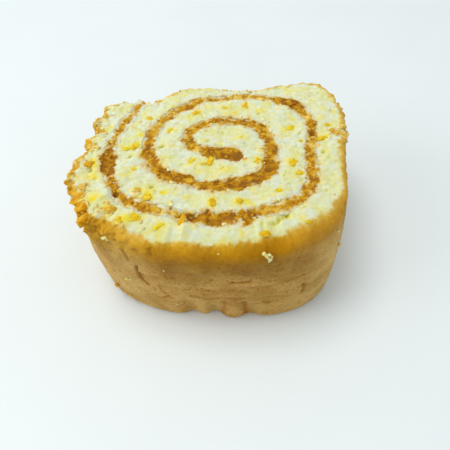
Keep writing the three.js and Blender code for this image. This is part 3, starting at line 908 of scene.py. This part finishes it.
def bump(tree, surface, height, strength, distance):
    sockets = {"Height": height, "Strength": strength, "Distance": distance * MM}
    made = add_node(tree, "ShaderNodeBump", sockets)
    tree.links.new(made.outputs["Normal"], surface.inputs["Normal"])


def translucent(surface, weight, reach):
    """Light soaks a little way into crumb and fruit. The reach is in millimetres."""
    surface.inputs["Subsurface Weight"].default_value = weight
    surface.inputs["Subsurface Radius"].default_value = (1, 0.85, 0.5)
    surface.inputs["Subsurface Scale"].default_value = reach * MM


def pitting(tree, size, stretch, low, high, where):
    """Pits of the skin, a size in mm apart and stretched sideways, in the places of a mask."""
    place = add_node(tree, "ShaderNodeTexCoord").outputs["Object"]
    squat = add_node(tree, "ShaderNodeVectorMath", {0: place, 1: (1, 1, stretch)},
                     operation="MULTIPLY").outputs[0]
    cells = add_node(tree, "ShaderNodeTexVoronoi", {"Vector": squat, "Scale": 1 / (size * MM)})
    pit = between(tree, cells.outputs["Distance"], low, high, 1, 0)
    return math_node(tree, "MULTIPLY", pit, where)


# The browning's colours change over this depth below the place where it starts.
BROWNING_DEPTH = 18
TANNED_COLOURS = (
    (0.0, (228, 210, 124)), (0.035, (216, 178, 60)), (0.085, (204, 154, 20)), (0.23, (192, 136, 0)),
    (0.34, (178, 126, 12)), (0.48, (166, 122, 44)), (0.65, (170, 130, 62)), (1.0, (194, 154, 84)),
)
PLAIN_COLOURS = (
    (0.0, (234, 222, 160)), (0.07, (224, 194, 98)), (0.18, (210, 164, 58)),
    (0.34, (196, 154, 70)), (0.65, (204, 168, 100)), (1.0, (206, 170, 104)),
)


def skin_look(tree, depth):
    """Colour and pits of the browned skin, by the distance below the place browning starts, with painted
    shade in its grain, pores and creases.
    """
    along = between(tree, depth, 0, BROWNING_DEPTH)
    along.node.interpolation_type = "LINEAR"
    tanned = ramp(tree, along, TANNED_COLOURS)
    skin = mix_colour(tree, attribute(tree, "golden"), ramp(tree, along, PLAIN_COLOURS), tanned)
    mottle = speckle(tree, 8, 3, 0.35, 0.65)
    skin = mix_colour(tree, mottle, skin, (228, 220, 200), "MULTIPLY")
    # Painted shade: the grain's creases are multiplied darker.
    shade, _ = grain(tree, 0.9)
    grain_shade = between(tree, shade, 0, 0.4, 0.25, 0)
    skin = mix_colour(tree, grain_shade, skin, (222, 200, 150), "MULTIPLY")
    # Round pores and long slits get a painted shade of dark brown, darkest at the front, where the skin
    # is most tanned.
    pores = pitting(tree, 1.5, 1.5, 0.18, 0.34, speckle(tree, 4, 5, 0.4, 0.54))
    slits = pitting(tree, 2.8, 3.4, 0.1, 0.26, speckle(tree, 5, 6, 0.44, 0.56))
    shaded_pits = math_node(tree, "MAXIMUM", pores, slits)
    shaded_pits = math_node(tree, "MULTIPLY", shaded_pits, between(tree, depth, 3, 8))
    dark = between(tree, attribute(tree, "golden"), 0.4, 0.9, 0.4, 0.9)
    skin = mix_colour(tree, math_node(tree, "MULTIPLY", shaded_pits, dark), skin, (148, 88, 0))
    bare = speckle(tree, 1.3, 8, 0.36, 0.62, 0.1, 0.75)
    bare = math_node(tree, "MULTIPLY", bare, attribute(tree, "flaky"))
    skin = mix_colour(tree, bare, skin, (216, 166, 42))
    # Painted shade: creases and cracks turn dark brown by their depth.
    return mix_colour(tree, attribute(tree, "hollow"), skin, (150, 88, 2)), shaded_pits


def sponge_material():
    name = "sponge crumb and browned skin"
    material, tree, surface = new_material(name, roughness=0.85, gloss=0.08)
    flecks = speckle(tree, 1.4, 0, 0.3, 0.7, -0.4, 0.4)
    depth = math_node(tree, "ADD", attribute(tree, "crust"), flecks)
    face, face_relief, _ = crumb_and_paste(
        tree, attribute(tree, "heart"), attribute(tree, "fruit"), attribute(tree, "hollow"))
    skin, shaded_pits = skin_look(tree, depth)
    is_skin = between(tree, depth, -0.8, 0.9)
    tree.links.new(mix_colour(tree, is_skin, face, skin), surface.inputs["Base Color"])
    tree.links.new(between(tree, is_skin, 0, 1, 0.9, 0.6), surface.inputs["Roughness"])
    smooth = between(tree, is_skin, 0, 1, 0.6, 0.25)
    pitted = math_node(tree, "SUBTRACT", math_node(tree, "MULTIPLY", face_relief, smooth),
                       math_node(tree, "MULTIPLY", shaded_pits, is_skin))
    bump(tree, surface, pitted, strength=0.4, distance=0.2)
    translucent(surface, weight=0.8, reach=1.3)
    return material


BOX_MARGIN = 0.01


def add_piece(name, points, faces, attributes, material):
    """A real mesh, in metres, that rides on the slice and keeps just inside its box."""
    mesh = bpy.data.meshes.new(name)
    low, high = (np.array(corner) / MM for corner in cad_box)
    points = np.clip(points, low + BOX_MARGIN, high - BOX_MARGIN)
    mesh.from_pydata((points * MM).tolist(), [], faces)
    mesh.shade_smooth()
    for label, values in attributes.items():
        layer = mesh.attributes.new(label, "FLOAT", "POINT")
        layer.data.foreach_set("value", np.asarray(values, dtype=np.float32))
    mesh.materials.append(material)
    piece = bpy.data.objects.new(name, mesh)
    bpy.context.scene.collection.objects.link(piece)
    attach(piece, "root")
    return piece


sponge_attributes = {
    "crust": crust, "golden": golden, "flaky": flaky, "hollow": hollow, "gap": gap, "rich": rich,
    "heart": heart, "fruit": fruit,
}
sponge = add_piece("sponge_roll", sponge_points, sponge_faces, sponge_attributes,
                   sponge_material())
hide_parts("sponge")

# ---------------------------------------------------------------------------------------------
# Filling. A thick spread of brown fruit paste, grainy and moist, rolled up with the sheet. It
# shows on both cut faces as one coiled band, and ends just short of the flap's tip.
# ---------------------------------------------------------------------------------------------

# The ribbon ends this far short of the line, and laps over the slot's edges at both cut faces.
END_GAP = 0.9
OVERLAP = 0.75
# A ring has points across both faces, by their share of the half width, and down both walls, by
# their height and whether the ribbon is as wide there as at its faces.
TOP_SHARES = np.linspace(1, -1, 17)
BOTTOM_SHARES = TOP_SHARES[::-2]
WALLS = ((40, True), (38.4, False), (30, False), (12, False), (3.6, False), (2, True))
# The lower face's lumps are those of a place this far away, so that the faces aren't alike.
LOWER_SHIFT = 40
# Deep gaps in the paste: place, depth and half width.
FILLING_HOLLOWS = (
    (-7.5, -30.0, 1.6, 1.4), (-23.4, 3.3, 0.7, 1.5), (-35.6, -0.5, 0.7, 1.4),
    (3.1, -6.0, 0.7, 2.6), (23.6, 18.3, 1.1, 1.8), (8.6, -21.8, 0.9, 1.2),
    (-11.0, -29.7, 0.7, 1.2), (-35.1, -7.8, 0.5, 1.6), (-30.8, -21.5, 1.3, 0.9),
    (30.4, 4.4, 1.0, 1.1),
)
# The paste lies this far below the crumb beside it, before its lumps are added.
PASTE_DIP = 0.4


def paste_relief(spots):
    """Relief of the paste where it is cut: lumps, grains and a few deep gaps."""
    dome, draw = grains(spots, 2.1, 31)
    small, _ = grains(spots, 1.1, 32)
    lumps = 0.5 * dome * (0.35 + draw) + 0.15 * small + 0.3 * soft_noise(spots, 2.4, 33)
    for x, y, deep, wide in FILLING_HOLLOWS:
        reach = ((spots[..., 0] - x) ** 2 + (spots[..., 1] - y) ** 2) / wide**2
        lumps = lumps - deep * np.exp(-reach)
    return lumps - PASTE_DIP


def filling_mesh():
    """A closed ribbon: one ring of points at each station along the line."""
    last = len(line) - round(END_GAP / LINE_SPACING)
    middles, sides = line[:last], outward[:last]
    halves = half_filling[:last]
    wide = halves + OVERLAP * np.clip(from_tip[:last] / 2, 0, 1)

    def across(shares):
        """Places over the ribbon's width, and their distances from the filling's edge."""
        spots = middles[:, None] + sides[:, None] * wide[:, None, None] * shares[:, None]
        return spots, wide[:, None] * np.abs(shares) - halves[:, None]

    top, top_gaps = across(TOP_SHARES)
    relief = paste_relief(top)
    crest = 1 - np.abs(TOP_SHARES) ** 5
    # Where crumb has been dragged over the paste, its edges stand as high as the crumb beside it.
    sunk = 0.4 - 0.35 * np.clip(covered[:last], 0, 1)[:, None]
    top_heights = face_height(top) - 0.05 + relief * crest - sunk * (1 - crest)
    numbers = np.repeat(np.arange(last), len(TOP_SHARES))
    top_gaps = visible_gap(top.reshape(-1, 2), top_gaps.ravel(), numbers).reshape(top_gaps.shape)
    rings = [stand(top, top_heights)]
    # How low the paste lies in its lows and gaps, for the painted shade its look puts there.
    hollows = [np.clip(-relief - PASTE_DIP, 0, 1)]
    gaps = [top_gaps]

    def add_wall(side, walls):
        for height, lapping in walls:
            spots = middles + side * sides * (wide if lapping else halves)[:, None]
            rings.append(stand(spots, np.full(last, height))[:, None])
            hollows.append(np.zeros((last, 1)))
            gaps.append(np.full((last, 1), -1.0))

    add_wall(-1, WALLS)
    bottom, bottom_gaps = across(BOTTOM_SHARES)
    under = paste_relief(bottom + LOWER_SHIFT)
    lift = 0.35 - 0.3 * np.clip(under, -1, 1) + 0.7 * np.abs(BOTTOM_SHARES) ** 5
    rings.append(stand(bottom, np.clip(lift, 0.05, None)))
    hollows.append(np.clip(-under - PASTE_DIP, 0, 1))
    gaps.append(bottom_gaps)
    add_wall(1, WALLS[::-1])

    points = np.concatenate(rings, axis=1)
    count = points.shape[1]
    index = np.arange(last * count).reshape(last, count)
    around = np.roll(index, -1, axis=1)
    quads = np.stack([index[:-1], index[1:], around[1:], around[:-1]], axis=-1)
    faces = quads.reshape(-1, 4).tolist()
    faces += [index[0].tolist(), index[-1][::-1].tolist()]
    flat = points.reshape(-1, 3)
    values = {
        "hollow": np.concatenate(hollows, axis=1).ravel(),
        "gap": np.concatenate(gaps, axis=1).ravel(),
        "rich": np.repeat(richness[:last], count),
    }
    return flat, faces, values


def paste_material():
    material, tree, surface = new_material("fruit paste", roughness=0.5, gloss=0.12)
    colour, height, is_paste = crumb_and_paste(tree, 0, 0, attribute(tree, "hollow"))
    tree.links.new(colour, surface.inputs["Base Color"])
    tree.links.new(between(tree, is_paste, 0, 1, 0.9, 0.5), surface.inputs["Roughness"])
    bump(tree, surface, height, strength=0.45, distance=0.25)
    translucent(surface, weight=0.5, reach=0.9)
    return material


filling_points, filling_faces, filling_values = filling_mesh()
filling = add_piece("fruit_filling", filling_points, filling_faces, filling_values,
                    paste_material())
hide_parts("filling")

# ---------------------------------------------------------------------------------------------
# Grains of filling. Coarse bits of fruit in the paste, torn loose by the knife along both
# edges of the coil. Each is a lump of its own, pressed into paste or crumb.
# ---------------------------------------------------------------------------------------------


def ball(detail):
    """The points and faces of a round ball of unit size."""
    mesh = bmesh.new()
    bmesh.ops.create_icosphere(mesh, subdivisions=detail, radius=1)
    points = np.array([vertex.co[:] for vertex in mesh.verts])
    faces = np.array([[vertex.index for vertex in face.verts] for face in mesh.faces])
    mesh.free()
    return points, faces


def turned(draw, count):
    """Random turns, as matrices."""
    axes = draw.normal(size=(count, 3, 3))
    return np.linalg.qr(axes)[0]


def lumpy(middles, sizes, tones, draw, detail=2, rough=0.5, turns=None):
    """Irregular lumps: their points, their faces, and the tone of the lump each point is on."""
    points, faces = ball(detail)
    count = len(middles)
    turns = turned(draw, count) if turns is None else turns
    shifted = points[None] + draw.uniform(0, 50, (count, 1, 3))
    swell = 1 + rough * soft_noise(shifted, 1.1, 41, 2)
    sharp = 1 + 0.5 * rough * soft_noise(shifted, 0.5, 42, 1)
    shaped = points[None] * (swell * sharp)[..., None] * sizes[:, None, :]
    placed = middles[:, None, :] + shaped @ np.swapaxes(turns, 1, 2)
    all_faces = faces[None] + len(points) * np.arange(count)[:, None, None]
    return placed.reshape(-1, 3), all_faces.reshape(-1, 3).tolist(), np.repeat(tones, len(points))


def uneven(radii, draw):
    """Three sizes for each lump, so that none is round."""
    return radii[:, None] * draw.uniform(0.7, 1.3, (len(radii), 3))


def lump_material(name, roughness, gloss, size, tones, shaded_pits, relief, light, cloud=None):
    """Looks of small lumps: a tone for each, and a grain of a size in millimetres with its pits.

    Shaded pits are a share and a colour, painted shade for the creases between grains. Relief and
    light are what bump and translucent take. A cloud is a speckle's size, seed and bounds, and
    its colour.
    """
    material, tree, surface = new_material(name, roughness, gloss)
    shade, height = grain(tree, size)
    tone = ramp(tree, attribute(tree, "tone"), tones)
    pit_share, pit_shade_colour = shaded_pits
    # Painted shade: the creases between grains take the pit colour.
    tone = mix_colour(tree, between(tree, shade, 0, 0.5, pit_share, 0), tone, pit_shade_colour)
    if cloud:
        cloud_size, seed, low, high, cloud_colour = cloud
        share = speckle(tree, cloud_size, seed, low, high, 0, 0.7)
        tone = mix_colour(tree, share, tone, cloud_colour)
    tree.links.new(tone, surface.inputs["Base Color"])
    bump(tree, surface, height, *relief)
    translucent(surface, *light)
    return material


grain_material = lump_material(
    "coarse fruit grain", roughness=0.45, gloss=0.15, size=0.6, relief=(0.4, 0.15),
    light=(0.5, 0.9), shaded_pits=(0.3, (160, 98, 0)),
    tones=((0.0, (228, 196, 100)), (0.3, (210, 160, 34)), (0.65, (190, 130, 4)), (1.0, (158, 96, 0))),
)
GRAIN_COUNT = 360
GRAIN_SINK = 0.15
draw = np.random.default_rng(3)
picked = draw.integers(6, len(line) - 4, GRAIN_COUNT)
sideways = draw.choice([-1, 1], GRAIN_COUNT) * draw.uniform(0, 1, GRAIN_COUNT)
reach = (half_filling[picked] - covered[picked]) * sideways + 0.3 * draw.normal(size=GRAIN_COUNT)
grain_spots = line[picked] + outward[picked] * reach[:, None]
grain_radii = draw.uniform(0.2, 0.55, GRAIN_COUNT)
grain_heights = face_height(grain_spots) + paste_relief(grain_spots) * 0.8 - GRAIN_SINK
grain_sizes = uneven(grain_radii, draw)
tones = np.clip(richness[picked] + draw.uniform(-0.4, 0.3, GRAIN_COUNT), 0, 1)
points, faces, tones = lumpy(stand(grain_spots, grain_heights), grain_sizes, tones, draw)
add_piece("filling_grains", points, faces, {"tone": tones}, grain_material)

# ---------------------------------------------------------------------------------------------
# Fruit bits. Small soft pieces of candied orange peel and pineapple, baked into the sponge and
# cut through with it, so most lie almost flush in the upper face.
# ---------------------------------------------------------------------------------------------


def turned_flat(degrees):
    """Turns about the upright, as matrices."""
    turn = np.radians(degrees)
    flat = np.zeros(turn.shape)
    rows = [
        [np.cos(turn), -np.sin(turn), flat],
        [np.sin(turn), np.cos(turn), flat],
        [flat, flat, flat + 1],
    ]
    return np.moveaxis(np.array(rows), -1, 0)


fruit_material = lump_material(
    "candied fruit", roughness=0.45, gloss=0.15, size=1.1, relief=(0.3, 0.2), light=(0.7, 1.2),
    tones=((0.0, (234, 212, 24)), (0.5, (230, 184, 8)), (1.0, (210, 144, 2))),
    shaded_pits=(0.4, (206, 148, 4)), cloud=(2, 9, 0.5, 0.66, (234, 214, 70)),
)
# A bit is a thick flake: its half sizes, as shares of its length, its width and its width.
BIT_SHARES = (0.56, 0.56, 0.24)
BIT_SINK = 0.14
bits = np.array(FRUIT_BITS)
draw = np.random.default_rng(8)
bit_sizes = bits[:, [2, 3, 3]] * BIT_SHARES
bit_heights = face_height(bits[:, :2]) - BIT_SINK
points, faces, tones = lumpy(stand(bits[:, :2], bit_heights), bit_sizes, bits[:, 5], draw,
                             4, 0.7, turned_flat(bits[:, 4]))
add_piece("fruit_bits", points, faces, {"tone": tones}, fruit_material)

# ---------------------------------------------------------------------------------------------
# Browned crumbs. Bits of skin that the knife tore off, from sandy grains to lumps of 4 mm. They
# cling to the crags at the left, along the back edge, and here and there on the side.
# ---------------------------------------------------------------------------------------------

browned_material = lump_material(
    "browned crumb", roughness=0.75, gloss=0.06, size=0.7, relief=(0.3, 0.15), light=(0.5, 0.5),
    tones=((0.0, (236, 226, 172)), (0.35, (222, 190, 104)), (0.7, (216, 158, 20)), (1.0, (200, 124, 0))),
    shaded_pits=(0.3, (196, 134, 6)), cloud=(1.6, 15, 0.42, 0.66, (222, 182, 56)),
)

# The large lumps: place, radius, and how brown.
LUMPS = (
    (-39.7, -9.2, 1.7, 0.85), (-40.2, -18.7, 1.7, 0.4), (-39.4, -27.0, 2.0, 0.9),
    (-38.4, -30.6, 2.0, 0.85), (-31.2, -27.9, 1.8, 0.6), (-24.0, -21.0, 1.3, 0.5),
    (38.0, 5.0, 1.3, 0.6), (40.6, 8.0, 1.4, 0.25), (40.4, 4.0, 1.2, 0.4),
)
# They are flatter than they are wide, and lie this share of their radius deep.
LUMP_FLATNESS = (1, 1, 0.7)
LUMP_SINK = 0.25
lumps = np.array(LUMPS)
draw = np.random.default_rng(5)
lump_sizes = lumps[:, 2:3] * draw.uniform(0.65, 0.95, (len(lumps), 3)) * LUMP_FLATNESS
lump_heights = face_height(lumps[:, :2]) - LUMP_SINK * lumps[:, 2]
lump_places = stand(lumps[:, :2], lump_heights)
lump_turns = turned_flat(np.linspace(0, 160, len(lumps)))
large = lumpy(lump_places, lump_sizes, lumps[:, 3], draw, 4, 0.65, lump_turns)
large_tones = np.clip(large[2] + 0.5 * soft_noise(large[0], 1.3, 43, 2), 0, 1)

# Smaller crumbs cling round each of them, at this share of its radius.
CLINGING = 6
CLING_REACH = 0.8
around = draw.normal(size=(len(lumps), CLINGING, 3)) * [1, 1, 0.5]
around /= np.linalg.norm(around, axis=-1, keepdims=True)
cling_middles = lump_places[:, None] + CLING_REACH * lumps[:, None, 2:3] * around * [1, 1, 0.4]
cling_radii = draw.uniform(0.4, 0.9, len(lumps) * CLINGING)
cling_tones = np.repeat(lumps[:, 3], CLINGING) + draw.uniform(-0.4, 0.1, len(cling_radii))

# A few hang on the skin near the foot at the left: degrees round the roll, height and radius.
FOOT_CRUMBS = (
    (-141, 7.4, 0.65), (-141.2, 6.2, 0.5), (-136.8, 5.8, 0.4), (-134.8, 5.2, 0.5), (-134, 4.4, 0.4),
)
CRUMB_RISE = 0.3


def on_skin_at(crumbs):
    """The middles of crumbs that hang on the skin, just proud of it."""
    return stand(*skin_spot(np.radians(crumbs[:, 0]), crumbs[:, 1], CRUMB_RISE))


def pick(draw, likely, count):
    """Points picked by chance, by how likely each is to hold a crumb."""
    return draw.choice(likely.size, count, replace=False, p=likely / likely.sum())


# Small ones, strewn by how torn the edge is where they lie.
FACE_CRUMB_COUNT, SKIN_CRUMB_COUNT = 36, 60
FACE_CRUMB_SINK = 0.2
upper_points = stand(upper_spots, upper_heights)
edge_torn = torn(np.arctan2(upper_spots[:, 1], upper_spots[:, 0]))
likely = edge_torn * np.exp(-upper_rims / (0.3 + 1.6 * edge_torn**2))
on_face = upper_points[pick(draw, likely, FACE_CRUMB_COUNT)] - [0, 0, FACE_CRUMB_SINK]
likely = (torn(skin_angles) ** 2 * np.exp(-down_skin / 2.0)).ravel()
skin_points = stand(skin_spots, skin_heights).reshape(-1, 3)
on_skin = skin_points[pick(draw, likely, SKIN_CRUMB_COUNT)]
strewn_radii = draw.uniform(0.35, 0.8, len(on_face) + len(on_skin)) ** 1.8
strewn_tones = draw.uniform(0.1, 0.55, len(strewn_radii))
low_crumbs = np.array(FOOT_CRUMBS)
middles = [on_face, on_skin, cling_middles.reshape(-1, 3), on_skin_at(low_crumbs)]
radii = np.concatenate([strewn_radii, cling_radii, low_crumbs[:, 2]])
tones = np.concatenate([strewn_tones, cling_tones, np.full(len(low_crumbs), 0.5)])
sizes = uneven(radii, draw)
small = lumpy(np.concatenate(middles), sizes, np.clip(tones, 0, 1), draw, 2, 0.7)

points = np.concatenate([large[0], small[0]])
faces = large[1] + (np.array(small[1]) + len(large[0])).tolist()
tones = np.concatenate([large_tones, small[2]])
add_piece("browned_crumbs", points, faces, {"tone": tones}, browned_material)

# ---------------------------------------------------------------------------------------------
# Pale crumbs. Loose specks of sponge: they fur the cut face and the filling's edges, and a few
# have dropped onto the skin.
# ---------------------------------------------------------------------------------------------

pale_material = lump_material(
    "pale loose crumb", roughness=0.9, gloss=0.08, size=0.6, relief=(0.3, 0.15), light=(0.3, 0.3),
    tones=((0.0, (234, 238, 212)), (0.6, (234, 232, 178)), (1.0, (226, 200, 110))),
    shaded_pits=(0.3, (222, 208, 116)),
)

# Crumbs on the skin: degrees round the roll, height, and radius with the crumb's fluff.
SKIN_CRUMBS = (
    (-135.5, 38.0, 0.9), (-136.4, 37.3, 0.7), (-134.6, 37.6, 0.6), (-131.5, 19.2, 0.7),
    (-129.8, 19.8, 0.45), (-113.5, 30.2, 0.5), (-112.0, 9.8, 0.4), (-110.0, 10.8, 0.45),
    (-72.2, 39.2, 0.8), (-71.4, 38.6, 0.9), (-70.2, 38.8, 0.7), (-70.8, 37.8, 0.9),
    (-69.8, 37.2, 0.8), (-70.4, 36.4, 0.7), (-69.4, 38.1, 0.6), (-84.2, 41.2, 0.45),
    (-90.2, 39.5, 0.5), (-40.0, 36.0, 0.4), (-36.8, 26.5, 0.8), (8.5, 39.6, 1.0),
    (6.0, 38.6, 0.8), (10.5, 38.8, 0.7),
)
# The lump inside a crumb's fluff is this share of its radius.
SOLID_SHARE = 0.6
PALE_COUNT = 130
PALE_SINK = 0.18
draw = np.random.default_rng(21)
likely = 0.1 + np.exp(-((upper_gaps - 0.2) / 0.6) ** 2) + 0.5 * edge_torn
likely = likely * (upper_crust < 1.5)
picked = pick(draw, likely, PALE_COUNT)
strewn_radii = draw.uniform(0.4, 0.8, PALE_COUNT) ** 1.8
on_side = np.array(SKIN_CRUMBS)
middles = np.concatenate([upper_points[picked] - [0, 0, PALE_SINK], on_skin_at(on_side)])
sizes = uneven(np.concatenate([strewn_radii, on_side[:, 2] * SOLID_SHARE]), draw)
tones = draw.uniform(0.3, 0.9, len(middles))
tones[PALE_COUNT:] = draw.uniform(0.6, 1, len(on_side))
points, faces, tones = lumpy(middles, sizes, tones, draw, 2, 0.6)
add_piece("pale_crumbs", points, faces, {"tone": tones}, pale_material)

# ---------------------------------------------------------------------------------------------
# Table, light and camera. A plain pale table top under two large soft lamps, one high up and
# one low at the left. The camera looks down on the slice from the front.
# ---------------------------------------------------------------------------------------------


def table_material():
    material, tree, surface = new_material("pale table", roughness=0.5, gloss=0.3)
    cloud = speckle(tree, 60, 11, 0.3, 0.7)
    tone = mix_colour(tree, cloud, (226, 232, 234), (228, 234, 236))
    tree.links.new(tone, surface.inputs["Base Color"])
    return material


TABLE_REACH = 3.0
table_mesh = bpy.data.meshes.new("table")
corners = [(TABLE_REACH * x, TABLE_REACH * y, 0) for x, y in ((-1, -1), (1, -1), (1, 1), (-1, 1))]
table_mesh.from_pydata(corners, [], [(0, 1, 2, 3)])
table_mesh.materials.append(table_material())
table = bpy.data.objects.new("table", table_mesh)
bpy.context.scene.collection.objects.link(table)


def add_lamp(name, place, size, power, colour):
    """A large soft lamp that faces the slice."""
    light = bpy.data.lights.new(name, "AREA")
    light.shape = "DISK"
    light.size = size
    light.energy = power
    light.color = colour
    lamp = bpy.data.objects.new(name, light)
    lamp.location = place
    lamp.rotation_euler = (-Vector(place)).to_track_quat("-Z", "Y").to_euler()
    bpy.context.scene.collection.objects.link(lamp)


add_lamp("main lamp", place=(-0.28, 0.12, 1.00), size=0.50, power=4.15, colour=(0.99, 1, 0.98))
add_lamp("left lamp", place=(-0.72, -0.20, 0.42), size=0.50, power=1.8, colour=(0.98, 1, 0.98))

world = bpy.data.worlds.new("soft room")
world.use_nodes = True
room = world.node_tree.nodes["Background"].inputs
room["Color"].default_value = (0.96, 1.0, 0.99, 1)
room["Strength"].default_value = 0.69
bpy.context.scene.world = world
bpy.context.scene.view_settings.view_transform = "Standard"

# The lens is as long as the frame is wide.
FRAME_WIDTH = 36
CAMERA_PLACE, CAMERA_TILT = (0.002617, -0.10415, 0.1416), math.radians(37)
camera_data = bpy.data.cameras.new("camera")
camera_data.lens = FRAME_WIDTH
camera_data.sensor_width = FRAME_WIDTH
camera_data.clip_start = 0.01
camera = bpy.data.objects.new("camera", camera_data)
camera.location = CAMERA_PLACE
camera.rotation_euler = (CAMERA_TILT, 0, 0)
bpy.context.scene.collection.objects.link(camera)
bpy.context.scene.camera = camera
